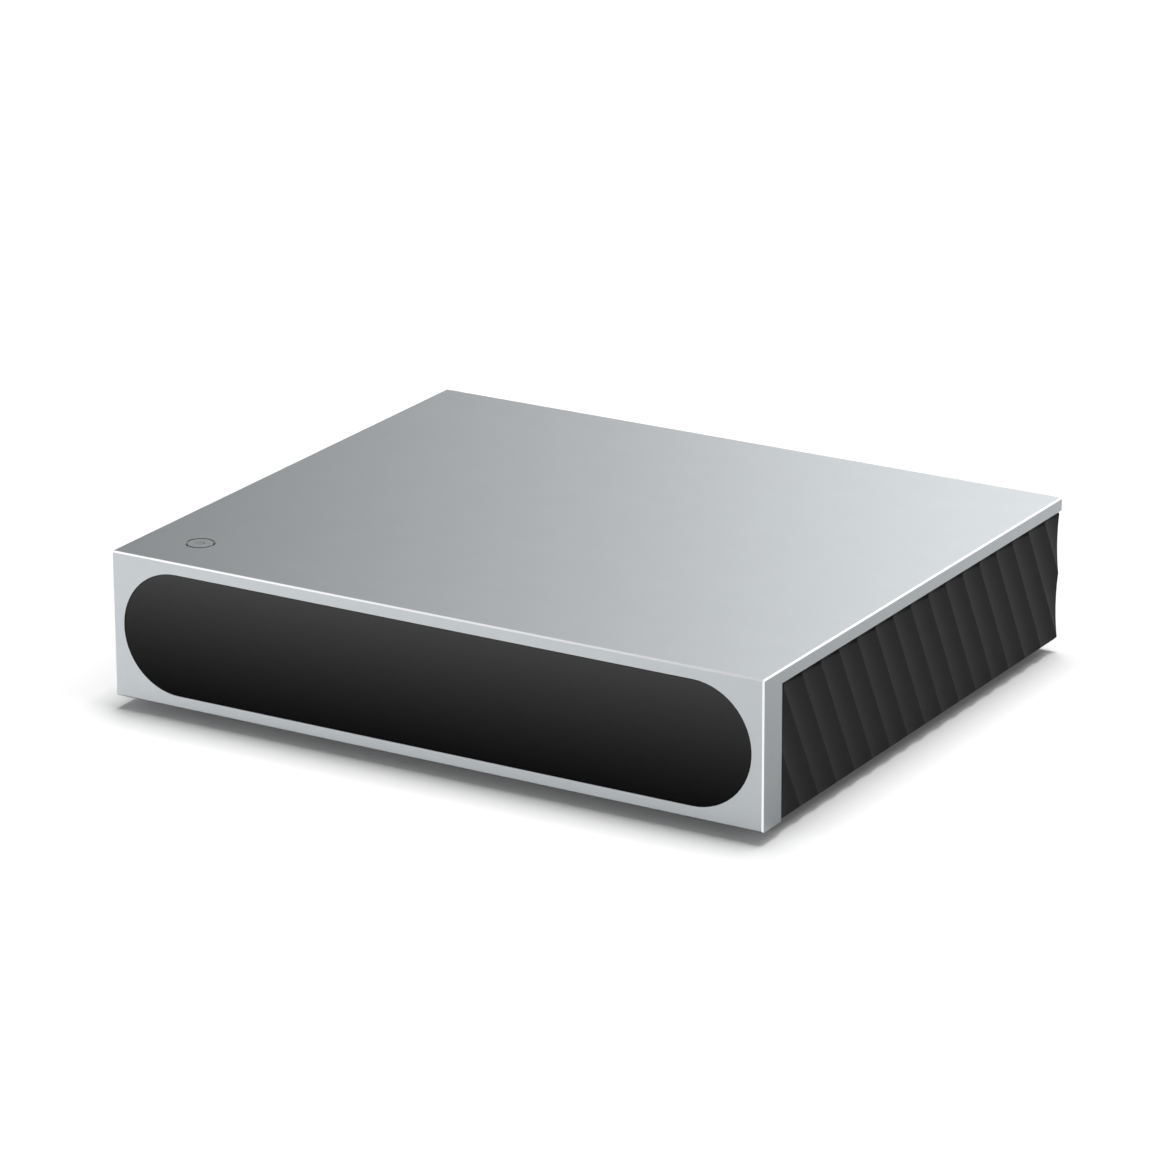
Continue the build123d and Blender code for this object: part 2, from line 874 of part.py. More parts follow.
with BuildPart() as case_screws:
    for side in left_and_right:
        for y in top_screw_ys:
            pan_screw(
                (side * lug_x, y, top_under - lug_height),
                (0, 0, 1),
                lug_height + top_screw_grip,
                screw_radius,
                head_radius,
                head_height,
            )
        for z in (plate_top + lug_height / 2, top_under - lug_height / 2):
            pan_screw(
                (side * lug_x, rear_face, z),
                (0, -1, 0),
                rear_thickness + bottom_screw_grip - through_gap,
                screw_radius,
                head_radius,
                head_height,
            )
keep(case_screws, "case_screws")

# Mains inlet, with its cut corners beside the earth blade
inlet_rear = rear_face - inlet_body_depth
inlet_cavity_floor = flange_face - inlet_cavity_depth
blade_width = 2.0
blade_height = 4.0
blade_tip = 2.5  # inside the mouth
blade_spread = 7.0
blade_drop = 2.0
tab_height = 6.3
tab_thickness = 0.8
tab_length = 8.0
blade_places = [
    (inlet_x, rear_middle + blade_drop),
    (inlet_x - blade_spread, rear_middle - blade_drop),
    (inlet_x + blade_spread, rear_middle - blade_drop),
]

with BuildPart() as mains_inlet:
    with BuildSketch(at_depth(flange_face)):
        with Locations((inlet_x, rear_middle)):
            RectangleRounded(inlet_flange_width, inlet_flange_height, flange_corner)
    extrude(amount=flange_thickness)
    block(
        about(inlet_x, inlet_body_width),
        (inlet_rear, rear_face),
        about(rear_middle, inlet_body_height),
    )
    with BuildSketch(at_depth(flange_face)) as inlet_mouth:
        with Locations((inlet_x, rear_middle)):
            Rectangle(inlet_cavity_width, inlet_cavity_height)
        chamfer(inlet_mouth.vertices().group_by(Axis.Y)[-1], length=inlet_key)
    extrude(amount=inlet_cavity_depth, mode=Mode.SUBTRACT)
    for x, z in blade_places:
        block(
            about(x, blade_width + 2 * thread_gap),
            (inlet_rear - cut_overrun, inlet_cavity_floor + cut_overrun),
            about(z, blade_height + 2 * thread_gap),
            Mode.SUBTRACT,
        )
keep(mains_inlet, "mains_inlet")

# Mains switch: a rocker that turns on two stubs in its housing, with two poles of two tabs
rocker_tilt = 9.0
rocker_pivot_y = flange_face - rocker_pivot_depth
rocker_body_rear = rear_face - rocker_body_depth
stub_radius = 1.2
stub_length = 0.9
rocker_crown = 3.2  # above the pivot at the ends
rocker_dip = 1.8  # above the pivot in the middle
rocker_base = 3.0  # below the pivot
rocker_base_half = 5.6
rocker_top = rocker_radius + cut_overrun
pole_spread = 3.2
pole_rise = 5.0
switch_tab_height = 4.8
switch_tab_places = [
    (rocker_x + side * pole_spread, rear_middle + level * pole_rise)
    for side in left_and_right
    for level in left_and_right
]

with BuildPart() as rocker_housing:
    with BuildSketch(at_depth(flange_face)):
        with Locations((rocker_x, rear_middle)):
            RectangleRounded(rocker_flange_width, rocker_flange_height, flange_thickness)
    extrude(amount=flange_thickness)
    block(
        about(rocker_x, rocker_body_width),
        (rocker_body_rear, rear_face),
        about(rear_middle, rocker_body_height),
    )
    block(
        about(rocker_x, rocker_width + 2 * rocker_gap),
        (rocker_pivot_y - rocker_floor, flange_face + cut_overrun),
        about(rear_middle, 2 * (rocker_radius + rocker_gap)),
        Mode.SUBTRACT,
    )
    bar(
        (rocker_x - rocker_width / 2 - stub_length - thread_gap, rocker_pivot_y, rear_middle),
        (1, 0, 0),
        stub_radius + thread_gap,
        rocker_width + 2 * (stub_length + thread_gap),
        Mode.SUBTRACT,
    )
keep(rocker_housing, "rocker_housing")

rocker_pivot = (rocker_x, rocker_pivot_y, rear_middle)
rocker_outwards = Vector(0, 1, 0).rotate(Axis.X, rocker_tilt)

with BuildPart() as rocker:
    with BuildSketch(Plane(rocker_pivot, x_dir=rocker_outwards, z_dir=(1, 0, 0))):
        with BuildLine():
            Polyline(
                (-rocker_base, -rocker_base_half),
                (0, -rocker_top),
                (rocker_crown, -rocker_top),
                (rocker_crown, -rocker_radius),
                (rocker_dip, 0),
                (rocker_crown, rocker_radius),
                (rocker_crown, rocker_top),
                (0, rocker_top),
                (-rocker_base, rocker_base_half),
                close=True,
            )
        make_face()
        Circle(rocker_radius, mode=Mode.INTERSECT)
    extrude(amount=rocker_width / 2, both=True)
    bar(
        (rocker_x - rocker_width / 2 - stub_length, rocker_pivot_y, rear_middle),
        (1, 0, 0),
        stub_radius,
        rocker_width + 2 * stub_length,
    )
keep(rocker, "rocker")

with BuildPart() as mains_contacts:
    for x, z in blade_places:
        block(about(x, blade_width), (inlet_rear, flange_face - blade_tip), about(z, blade_height))
        block(about(x, tab_thickness), (inlet_rear - tab_length, inlet_rear), about(z, tab_height))
    for x, z in switch_tab_places:
        block(
            about(x, tab_thickness),
            (rocker_body_rear - tab_length, rocker_body_rear),
            about(z, switch_tab_height),
        )
keep(mains_contacts, "mains_contacts")

# Sockets that stand on the main board, with mouths just outside the rear panel
mouth = rear_face + jack_lip
trigger_z = board_top + trigger_body_height / 2

with BuildPart() as trigger_jack:
    block(
        about(trigger_x, trigger_body_width),
        (rear_inner - trigger_body_depth, rear_inner),
        (board_top, board_top + trigger_body_height),
    )
    bar((trigger_x, rear_inner, trigger_z), (0, 1, 0), trigger_nose_radius, mouth - rear_inner)
    bar((trigger_x, mouth, trigger_z), (0, -1, 0), trigger_bore, trigger_bore_length, Mode.SUBTRACT)
keep(trigger_jack, "trigger_jack")

port_spacing = 7.6
port_tongue_width = 11.1
port_tongue_thickness = 1.9
port_tongue_length = 9.0
port_tongue_rise = 0.9
usb_middle = board_top + usb_height / 2
port_zs = [usb_middle + level * port_spacing / 2 for level in left_and_right]

with BuildPart() as usb_jacks:
    block(about(usb_x, usb_width), (mouth - usb_depth, mouth), about(usb_middle, usb_height))
    for z in port_zs:
        block(
            about(usb_x, port_width),
            (mouth - port_depth, mouth + cut_overrun),
            about(z, port_height),
            Mode.SUBTRACT,
        )
keep(usb_jacks, "usb_jacks")

plug_width = 11.8
plug_height = 6.8
latch_width = 6.4
latch_height = 3.2
plug_depth = 13.0
network_roof = 1.6
plug_top = board_top + network_height - network_roof
plug_bottom = plug_top - plug_height
wire_width = 0.5
wire_pitch = 1.02
wire_count = 8
wire_length = 9.0
wire_drop = 0.9

with BuildPart() as network_jack:
    block(
        about(network_x, network_width),
        (mouth - network_depth, mouth),
        (board_top, board_top + network_height),
    )
    block(
        about(network_x, plug_width),
        (mouth - plug_depth, mouth + cut_overrun),
        (plug_bottom, plug_top),
        Mode.SUBTRACT,
    )
    block(
        about(network_x, latch_width),
        (mouth - plug_depth, mouth + cut_overrun),
        (plug_bottom - latch_height, plug_bottom),
        Mode.SUBTRACT,
    )
keep(network_jack, "network_jack")

with BuildPart() as network_contacts:
    with Locations((network_x, mouth - plug_depth + wire_length / 2, plug_top - wire_drop)):
        with GridLocations(wire_pitch, 0, wire_count, 1):
            Box(wire_width, wire_length, wire_width)
keep(network_contacts, "network_contacts")

slot_width = 14.2
slot_height = 4.9
slot_depth = 9.0
slot_corner = 1.5
slot_tongue_width = 11.2
slot_tongue_thickness = 1.2
slot_tongue_length = 7.5
link_middle = board_top + link_height / 2

with BuildPart() as link_jack:
    block(about(link_x, link_width), (mouth - link_depth, mouth), about(link_middle, link_height))
    with BuildSketch(at_depth(mouth)) as link_mouth:
        with Locations((link_x, link_middle)):
            Rectangle(slot_width, slot_height)
        chamfer(link_mouth.vertices().group_by(Axis.Y)[0], length=slot_corner)
    extrude(amount=slot_depth, mode=Mode.SUBTRACT)
keep(link_jack, "link_jack")

with BuildPart() as port_tongues:
    for z in port_zs:
        block(
            about(usb_x, port_tongue_width),
            (mouth - port_depth, mouth - port_depth + port_tongue_length),
            about(z + port_tongue_rise, port_tongue_thickness),
        )
    block(
        about(link_x, slot_tongue_width),
        (mouth - slot_depth, mouth - slot_depth + slot_tongue_length),
        about(link_middle, slot_tongue_thickness),
    )
keep(port_tongues, "port_tongues")

# Optical output, closed by a flap that hangs from its top edge and swings inwards
flap_wall = 1.0
flap_cavity = optical_width - 2 * flap_wall
flap_depth = 9.5
flap_thickness = 1.0
flap_side_gap = 0.2
flap_top_gap = 0.75  # from the pivot to the cavity's roof
flap_setback = 0.9  # from the mouth to the pivot
flap_pin_radius = 0.4
flap_pin_length = 0.6
optical_middle = board_top + optical_height / 2
flap_pivot_y = mouth - flap_setback
flap_pivot_z = optical_middle + flap_cavity / 2 - flap_top_gap
flap_bottom = optical_middle - flap_cavity / 2 + flap_side_gap
flap_width = flap_cavity - 2 * flap_side_gap

with BuildPart() as optical_jack:
    block(
        about(optical_x, optical_width),
        (mouth - optical_depth, mouth),
        about(optical_middle, optical_height),
    )
    block(
        about(optical_x, flap_cavity),
        (mouth - flap_depth, mouth + cut_overrun),
        about(optical_middle, flap_cavity),
        Mode.SUBTRACT,
    )
    bar(
        (optical_x - flap_width / 2 - flap_pin_length - thread_gap, flap_pivot_y, flap_pivot_z),
        (1, 0, 0),
        flap_pin_radius + thread_gap,
        flap_width + 2 * (flap_pin_length + thread_gap),
        Mode.SUBTRACT,
    )
keep(optical_jack, "optical_jack")

with BuildPart() as optical_flap:
    block(
        about(optical_x, flap_width),
        about(flap_pivot_y, flap_thickness),
        (flap_bottom, flap_pivot_z),
    )
    bar(
        (optical_x - flap_width / 2, flap_pivot_y, flap_pivot_z),
        (1, 0, 0),
        flap_thickness / 2,
        flap_width,
    )
    bar(
        (optical_x - flap_width / 2 - flap_pin_length, flap_pivot_y, flap_pivot_z),
        (1, 0, 0),
        flap_pin_radius,
        flap_width + 2 * flap_pin_length,
    )
keep(optical_flap, "optical_flap")

# Phono jacks: a body on the board, a metal barrel through the panel and a coloured insert
phono_body_width = 10.4
phono_body_depth = 9.0
phono_body_above = 5.5
phono_bore = 3.55
insert_bore = 1.6
insert_bore_depth = 9.0
insert_recess = 0.6

with BuildPart() as phono_bodies:
    for x in phono_xs.values():
        block(
            about(x, phono_body_width),
            (rear_inner - phono_body_depth, rear_inner),
            (board_top, phono_z + phono_body_above),
        )
keep(phono_bodies, "phono_bodies")

with BuildPart() as phono_barrels:
    for x in phono_xs.values():
        ring((x, rear_inner, phono_z), (0, 1, 0), phono_radius, phono_bore, phono_end - rear_inner)
        ring((x, rear_face, phono_z), (0, 1, 0), phono_flange_radius, phono_bore, phono_flange_thickness)
keep(phono_barrels, "phono_barrels")

with BuildPart() as phono_inserts:
    for x in phono_xs.values():
        insert_end = phono_end - insert_recess
        bar((x, rear_inner, phono_z), (0, 1, 0), phono_bore - thread_gap, insert_end - rear_inner)
        bar((x, insert_end, phono_z), (0, -1, 0), insert_bore, insert_bore_depth, Mode.SUBTRACT)
keep(phono_inserts, "phono_inserts")

# Antenna jacks: a threaded barrel with a hexagon inside the panel and a nut outside it
antenna_reach = 7.0
antenna_bore = 2.3
antenna_bore_depth = 3.5
antenna_pin = 0.5
antenna_hex_thickness = 2.0
antenna_nose_radius = 2.0
antenna_nose_length = 4.0
antenna_nose_end = rear_inner - antenna_hex_thickness - antenna_nose_length
antenna_relief_width = 0.6  # a groove between the nut and the thread for the antenna
antenna_relief_depth = 0.35
antenna_relief_y = rear_face + antenna_hex_thickness

with BuildPart() as antenna_jacks:
    for x in antenna_xs.values():
        antenna_end = rear_face + antenna_reach
        bar((x, rear_inner, antenna_z), (0, 1, 0), antenna_radius, antenna_end - rear_inner)
        with BuildSketch(at_depth(antenna_relief_y)) as relief:
            with Locations((x, antenna_z)):
                Circle(antenna_radius)
                Circle(antenna_radius - antenna_relief_depth, mode=Mode.SUBTRACT)
        extrude(relief.sketch, amount=-antenna_relief_width, mode=Mode.SUBTRACT)
        bar((x, antenna_end, antenna_z), (0, -1, 0), antenna_bore, antenna_bore_depth, Mode.SUBTRACT)
        bar((x, antenna_end, antenna_z), (0, -1, 0), antenna_pin, antenna_bore_depth)
        with BuildSketch(at_depth(rear_inner)) as hexagon:
            with Locations((x, antenna_z)):
                RegularPolygon(antenna_hex / 2, hexagon_sides, major_radius=False)
        extrude(hexagon.sketch, amount=antenna_hex_thickness)
        bar(
            (x, antenna_nose_end, antenna_z),
            (0, 1, 0),
            antenna_nose_radius,
            antenna_nose_length,
        )
keep(antenna_jacks, "antenna_jacks")

with BuildPart() as antenna_nuts:
    for x in antenna_xs.values():
        with BuildSketch(at_depth(rear_face)) as nut_section:
            with Locations((x, antenna_z)):
                RegularPolygon(antenna_hex / 2, hexagon_sides, major_radius=False)
                Circle(antenna_radius + thread_gap, mode=Mode.SUBTRACT)
        extrude(nut_section.sketch, amount=-antenna_hex_thickness)
keep(antenna_nuts, "antenna_nuts")

# Main board with its standoffs and screws. The supply board stands beside it.
supply_left = -board_right
supply_right = board_left - boards_apart
supply_front = board_front
supply_depth = 100.0
supply_middle = (supply_left + supply_right) / 2
board_screw_shares = [(x, y) for x in (0.04, 0.96) for y in (0.04, 0.8)] + [(0.5, 0.04), (0.5, 0.8)]
supply_screw_inset = 4.0
standoff_width = 5.5
part_gap = 1.1  # between neighbours on the supply board


def up_supply(share):
    """A depth on the supply board, from a share of its own depth."""
    return supply_front + share * supply_depth


board_screw_places = [on_board(shares) for shares in board_screw_shares]
supply_screw_places = [
    (x, y)
    for x in (supply_left + supply_screw_inset, supply_right - supply_screw_inset)
    for y in (supply_front + supply_screw_inset, supply_front + supply_depth - supply_screw_inset)
]

with BuildPart() as main_board:
    block((board_left, board_right), (board_front, board_rear), (board_bottom, board_top))
    for x, y in board_screw_places:
        bar((x, y, board_bottom), (0, 0, 1), screw_radius + through_gap, board_thickness, Mode.SUBTRACT)
keep(main_board, "main_board")

with BuildPart() as supply_board:
    block(
        (supply_left, supply_right),
        (supply_front, supply_front + supply_depth),
        (board_bottom, board_top),
    )
    for x, y in supply_screw_places:
        bar((x, y, board_bottom), (0, 0, 1), screw_radius + through_gap, board_thickness, Mode.SUBTRACT)
keep(supply_board, "supply_board")

with BuildPart() as board_standoffs:
    for x, y in board_screw_places + supply_screw_places:
        with BuildSketch(Plane((x, y, plate_top))) as standoff_section:
            RegularPolygon(standoff_width / 2, hexagon_sides, major_radius=False)
            Circle(screw_radius + thread_gap, mode=Mode.SUBTRACT)
        extrude(standoff_section.sketch, amount=standoff_height)
keep(board_standoffs, "board_standoffs")

board_screw_grip = 4.0
bridge_foot_x = sink_inner - bridge_thickness

with BuildPart() as board_screws:
    for x, y in board_screw_places + supply_screw_places:
        pan_screw(
            (x, y, board_top),
            (0, 0, -1),
            board_thickness + board_screw_grip,
            screw_radius,
            head_radius,
            head_height,
        )
    for y in bridge_screw_ys:
        pan_screw(
            (bridge_foot_x, y, bridge_screw_z),
            (1, 0, 0),
            bridge_thickness + bridge_screw_grip - through_gap,
            screw_radius,
            head_radius,
            head_height,
        )
keep(board_screws, "board_screws")

# Processor, cooled through a pad and a bracket to the right side panel
with BuildPart() as processor:
    block(
        about(processor_x, processor_size),
        about(processor_y, processor_size),
        (board_top, board_top + processor_height),
    )
keep(processor, "processor")

with BuildPart() as thermal_pad:
    block(
        about(processor_x, processor_size),
        about(processor_y, processor_size),
        (board_top + processor_height, bridge_bottom),
    )
keep(thermal_pad, "thermal_pad")

with BuildPart() as heat_bridge:
    block(
        (processor_x - bridge_width / 2, sink_inner),
        about(processor_y, bridge_width),
        (bridge_bottom, bridge_top),
    )
    block(
        (bridge_foot_x, sink_inner),
        about(processor_y, bridge_width),
        (bridge_bottom, bridge_bottom + bridge_foot_height),
    )
    for y in bridge_screw_ys:
        bar(
            (bridge_foot_x, y, bridge_screw_z),
            (1, 0, 0),
            screw_radius + through_gap,
            bridge_thickness,
            Mode.SUBTRACT,
        )
keep(heat_bridge, "heat_bridge")

# Chips, relays and connectors' sockets on the main board, as share places with sizes
memory_length = 13.0
memory_width = 9.0
memory_height = 1.1
converter_size = 9.0
converter_height = 1.0
amplifier_length = 5.0
amplifier_width = 6.0
amplifier_height = 1.5
clock_length = 7.0
clock_width = 5.0
clock_height = 1.8
relay_length = 14.0
relay_width = 9.0
relay_height = 5.0
chip_rows = [
    ((0.42, 0.2), (memory_width, memory_length, memory_height)),
    ((0.42, 0.38), (memory_width, memory_length, memory_height)),
    ((0.62, 0.13), (memory_length, memory_width, memory_height)),
    ((0.3, 0.6), (converter_size, converter_size, converter_height)),
    ((0.3, 0.78), (converter_size, converter_size, converter_height)),
    ((0.72, 0.5), (converter_size, converter_size, converter_height)),
    ((0.6, 0.56), (clock_length, clock_width, clock_height)),
    ((0.6, 0.48), (clock_length, clock_width, clock_height)),
    ((0.78, 0.66), (amplifier_length, amplifier_width, amplifier_height)),
    ((0.9, 0.66), (amplifier_length, amplifier_width, amplifier_height)),
    ((0.7, 0.86), (relay_length, relay_width, relay_height)),
    ((0.84, 0.86), (relay_length, relay_width, relay_height)),
]

with BuildPart() as board_chips:
    for shares, (length, depth, height) in chip_rows:
        x, y = on_board(shares)
        block(about(x, length), about(y, depth), (board_top, board_top + height))
keep(board_chips, "board_chips")

# Wireless module: a small board with a shielding can and two lead sockets on it
module_shares = (0.12, 0.62)
module_width = 22.0
module_depth = 28.0
module_board_height = 1.0
shield_margin = 1.5
shield_depth_share = 0.66
shield_height = 2.2
lead_socket_radius = 1.0
lead_socket_height = 1.2
lead_spacing = 6.0
module_x, module_y = on_board(module_shares)
module_top = board_top + module_board_height
module_rear = module_y + module_depth / 2
shield_front = module_y - module_depth / 2 + shield_margin
lead_socket_y = module_rear - 2 * lead_socket_radius

with BuildPart() as wireless_module:
    block(about(module_x, module_width), about(module_y, module_depth), (board_top, module_top))
    block(
        about(module_x, module_width - 2 * shield_margin),
        (shield_front, shield_front + shield_depth_share * module_depth),
        (module_top, module_top + shield_height),
    )
    for side in left_and_right:
        bar(
            (module_x + side * lead_spacing / 2, lead_socket_y, module_top),
            (0, 0, 1),
            lead_socket_radius,
            lead_socket_height,
        )
keep(wireless_module, "wireless_module")

# Supply board: transformer, cooled rectifier, filter parts, fuse and connectors
core_width = 26.0
core_depth = 24.0
core_height = 20.0
winding_bulge = 2.5
winding_height = 12.0
winding_rise = 4.0
transformer_share = 0.39  # of the supply board's depth
transformer_y = up_supply(transformer_share)

with BuildPart() as supply_transformer:
    block(
        about(supply_middle, core_width),
        about(transformer_y, core_depth),
        (board_top, board_top + core_height),
    )
    with BuildSketch(Plane.XY.offset(board_top + winding_rise)):
        with Locations((supply_middle, transformer_y)):
            RectangleRounded(
                core_width - 2 * winding_bulge,
                core_depth + 2 * winding_bulge,
                winding_bulge,
            )
    extrude(amount=winding_height)
keep(supply_transformer, "supply_transformer")

fin_plate_width = 34.0
fin_plate_height = 22.0
fin_plate_thickness = 2.0
fin_count = 5
fin_pitch = 7.0
fin_length = 6.0
supply_sink_share = 0.85  # of the supply board's depth
supply_sink_y = up_supply(supply_sink_share)

with BuildPart() as supply_heat_sink:
    block(
        about(supply_middle, fin_plate_width),
        about(supply_sink_y, fin_plate_thickness),
        (board_top, board_top + fin_plate_height),
    )
    with Locations((supply_middle, supply_sink_y - fin_length / 2, board_top + fin_plate_height / 2)):
        with GridLocations(fin_pitch, 0, fin_count, 1):
            Box(fin_plate_thickness, fin_length, fin_plate_height)
keep(supply_heat_sink, "supply_heat_sink")

film_length = 18.0
film_width = 8.0
film_height = 13.0
choke_length = 16.0
choke_width = 8.0
choke_height = 15.0
fuse_length = 20.0
fuse_radius = 2.6
fuse_clip_width = 6.0
fuse_clip_length = 5.0
fuse_rise = 4.0
rectifier_width = 12.0
rectifier_depth = 4.5
rectifier_height = 15.0
plug_block_length = 12.0
plug_block_width = 8.0
plug_block_height = 9.0
film_share = 0.42  # places along the supply board's depth
choke_share = 0.62
fuse_share = 0.4
output_block_share = 0.2
main_block_shares = (0.05, 0.3)
film_x = supply_middle + core_width / 2 + part_gap + film_width / 2
film_y = up_supply(film_share)
choke_x = film_x
choke_y = up_supply(choke_share)
fuse_x = supply_middle - core_width / 2 - part_gap - fuse_clip_width / 2
fuse_y = up_supply(fuse_share)
inlet_block_x = supply_middle - rectifier_width / 2 - part_gap - plug_block_width / 2
inlet_block_y = supply_sink_y + fin_plate_thickness / 2 + part_gap + plug_block_length / 2
output_block_x = supply_right - plug_block_width / 2 - part_gap
output_block_y = up_supply(output_block_share)
main_block_x, main_block_y = on_board(main_block_shares)
fuse_z = board_top + fuse_rise

with BuildPart() as supply_parts:
    block(about(film_x, film_width), about(film_y, film_length), (board_top, board_top + film_height))
    block(about(choke_x, choke_width), about(choke_y, choke_length), (board_top, board_top + choke_height))
    block(
        about(supply_middle, rectifier_width),
        (supply_sink_y + fin_plate_thickness / 2, supply_sink_y + fin_plate_thickness / 2 + rectifier_depth),
        (board_top, board_top + rectifier_height),
    )
    bar((fuse_x, fuse_y - fuse_length / 2, fuse_z), (0, 1, 0), fuse_radius, fuse_length)
    for side in left_and_right:
        clip_y = fuse_y + side * (fuse_length - fuse_clip_length) / 2
        block(about(fuse_x, fuse_clip_width), about(clip_y, fuse_clip_length), (board_top, fuse_z))
keep(supply_parts, "supply_parts")

# Electrolytic capacitors: small ones round the audio part, large ones on the supply board
small_can_radius = 3.15
small_can_height = 7.0
medium_can_radius = 5.0
medium_can_height = 11.5
bulk_can_radius = 8.0
bulk_can_height = 23.0
can_groove = 0.35
can_groove_rise = 1.4
small_can_shares = [(x, y) for x in (0.79, 0.86, 0.93) for y in (0.56, 0.74)] + [(0.5, 0.66), (0.57, 0.66)]
medium_can_shares = [(0.06, 0.14), (0.16, 0.14), (0.7, 0.6)]
bulk_can_share = 0.66  # of the supply board's depth
output_can_share = 0.14
bulk_can_y = up_supply(bulk_can_share)
output_can_y = up_supply(output_can_share)
bulk_can_spacing = 2 * bulk_can_radius + part_gap
output_can_spacing = 2 * medium_can_radius + part_gap
bulk_can_xs = [choke_x - choke_width / 2 - bulk_can_spacing * (row + 1 / 2) for row in (0, 1)]
output_can_xs = [supply_middle + side * output_can_spacing / 2 for side in left_and_right]
cans = [
    *[(on_board(shares), small_can_radius, small_can_height) for shares in small_can_shares],
    *[(on_board(shares), medium_can_radius, medium_can_height) for shares in medium_can_shares],
    *[((x, bulk_can_y), bulk_can_radius, bulk_can_height) for x in bulk_can_xs],
    *[((x, output_can_y), medium_can_radius, medium_can_height) for x in output_can_xs],
]

with BuildPart() as capacitors:
    for (x, y), radius, height in cans:
        with BuildSketch(Plane((x, y, board_top), x_dir=(1, 0, 0), z_dir=(0, -1, 0))) as can_profile:
            with BuildLine():
                Polyline(
                    (0, 0),
                    (radius, 0),
                    (radius, can_groove_rise - can_groove),
                    (radius - can_groove, can_groove_rise),
                    (radius, can_groove_rise + can_groove),
                    (radius, height),
                    (0, height),
                    close=True,
                )
            make_face()
        revolve(can_profile.sketch, axis=Axis((x, y, board_top), (0, 0, 1)))
keep(capacitors, "capacitors")

# Cables inside the case. Each ends at a tab, or at a plug that stands on a board.
wire_radius = 1.1
wire_bend = 1.6
near_run = 3.5  # how far in front of the tabs each wire crosses the case
first_run = 7.0
third_run = 12.0
fourth_run = 17.5
plug_wire_spread = 2.5
earth_radius = 3.0
earth_room = 11.6  # behind the supply board
earth_x = supply_left + earth_radius
earth_y = supply_front + supply_depth + earth_room
earth_height = 3.5
tab_end = inlet_rear - tab_length
switch_tab_end = rocker_body_rear - tab_length
(earth_blade, live_blade, neutral_blade) = blade_places
lower_tab_z = rear_middle - pole_rise
upper_tab_z = rear_middle + pole_rise
left_pole_x = rocker_x - pole_spread
right_pole_x = rocker_x + pole_spread
plug_z = board_top + plug_block_height

with BuildPart() as mains_wires:
    block(
        about(inlet_block_x, plug_block_width),
        about(inlet_block_y, plug_block_length),
        (board_top, plug_z),
    )
    bar((earth_x, earth_y, plate_top), (0, 0, 1), earth_radius, earth_height)
    live_route = [
        (live_blade[0], tab_end, live_blade[1]),
        (live_blade[0], tab_end - first_run, live_blade[1]),
        (left_pole_x, tab_end - first_run, lower_tab_z),
        (left_pole_x, switch_tab_end, lower_tab_z),
    ]
    neutral_route = [
        (neutral_blade[0], tab_end, neutral_blade[1]),
        (neutral_blade[0], tab_end - near_run, neutral_blade[1]),
        (right_pole_x, tab_end - near_run, neutral_blade[1]),
        (right_pole_x, switch_tab_end - near_run, lower_tab_z),
        (right_pole_x, switch_tab_end, lower_tab_z),
    ]
    earth_route = [
        (earth_blade[0], tab_end, earth_blade[1]),
        (earth_blade[0], tab_end - first_run, earth_blade[1]),
        (earth_x, earth_y, earth_blade[1]),
        (earth_x, earth_y, plate_top + earth_height),
    ]
    for route in (live_route, neutral_route, earth_route):
        cable(route, wire_radius, wire_bend)
    for pole_x, run, side in ((left_pole_x, third_run, -1), (right_pole_x, fourth_run, 1)):
        end_x = inlet_block_x + side * plug_wire_spread
        switched_route = [
            (pole_x, switch_tab_end, upper_tab_z),
            (pole_x, tab_end - run, upper_tab_z),
            (end_x, tab_end - run, upper_tab_z),
            (end_x, inlet_block_y, upper_tab_z),
            (end_x, inlet_block_y, plug_z),
        ]
        cable(switched_route, wire_radius, wire_bend)
keep(mains_wires, "mains_wires")

lead_radius = 0.7
lead_bend = 2.4
harness_arch = 6.5
harness_pitch = 2.5
harness_shares = (-1.5, -0.5, 0.5, 1.5)  # each wire's place, in pitches from the middle

with BuildPart() as power_harness:
    for x, y in ((output_block_x, output_block_y), (main_block_x, main_block_y)):
        block(about(x, plug_block_width), about(y, plug_block_length), (board_top, plug_z))
    for share in harness_shares:
        along = share * harness_pitch
        harness_route = [
            (output_block_x, output_block_y + along, plug_z),
            (output_block_x, output_block_y + along, plug_z + harness_arch),
            (main_block_x, main_block_y + along, plug_z + harness_arch),
            (main_block_x, main_block_y + along, plug_z),
        ]
        cable(harness_route, lead_radius, lead_bend)
keep(power_harness, "power_harness")

signal_plug_width = 8.0
signal_plug_height = 6.0
signal_cable_radius = 1.1
signal_bend = 3.0
signal_plug_gap = 2.4  # between this plug and the display's
signal_plug_room = 5.8  # behind the board's front edge
signal_plug_x = -(display_socket_width / 2 + signal_plug_gap + signal_plug_width / 2)
signal_plug_y = board_front + signal_plug_room
signal_plug_z = board_top + signal_plug_height
signal_start_z = switch_board_bottom - switch_socket_height
signal_drop = 9.0
signal_loop = 7.0
signal_turn_shares = (0.47, 0.93)  # where the cable turns on its way across to the plug
signal_turn_rooms = (14.6, 19.6)  # behind the front
signal_turn_rises = (10.4, 11.4)  # above the main board
signal_turns = [
    (button_x + share * (signal_plug_x - button_x), front_back + room, board_top + rise)
    for share, room, rise in zip(signal_turn_shares, signal_turn_rooms, signal_turn_rises)
]

with BuildPart() as button_cable:
    block(
        about(signal_plug_x, signal_plug_width),
        about(signal_plug_y, signal_plug_height),
        (board_top, signal_plug_z),
    )
    signal_route = [
        (button_x, switch_socket_y, signal_start_z),
        (button_x, switch_socket_y, signal_start_z - signal_drop),
        *signal_turns,
        (signal_plug_x, signal_plug_y, signal_plug_z + signal_loop),
        (signal_plug_x, signal_plug_y, signal_plug_z),
    ]
    cable(signal_route, signal_cable_radius, signal_bend)
keep(button_cable, "button_cable")

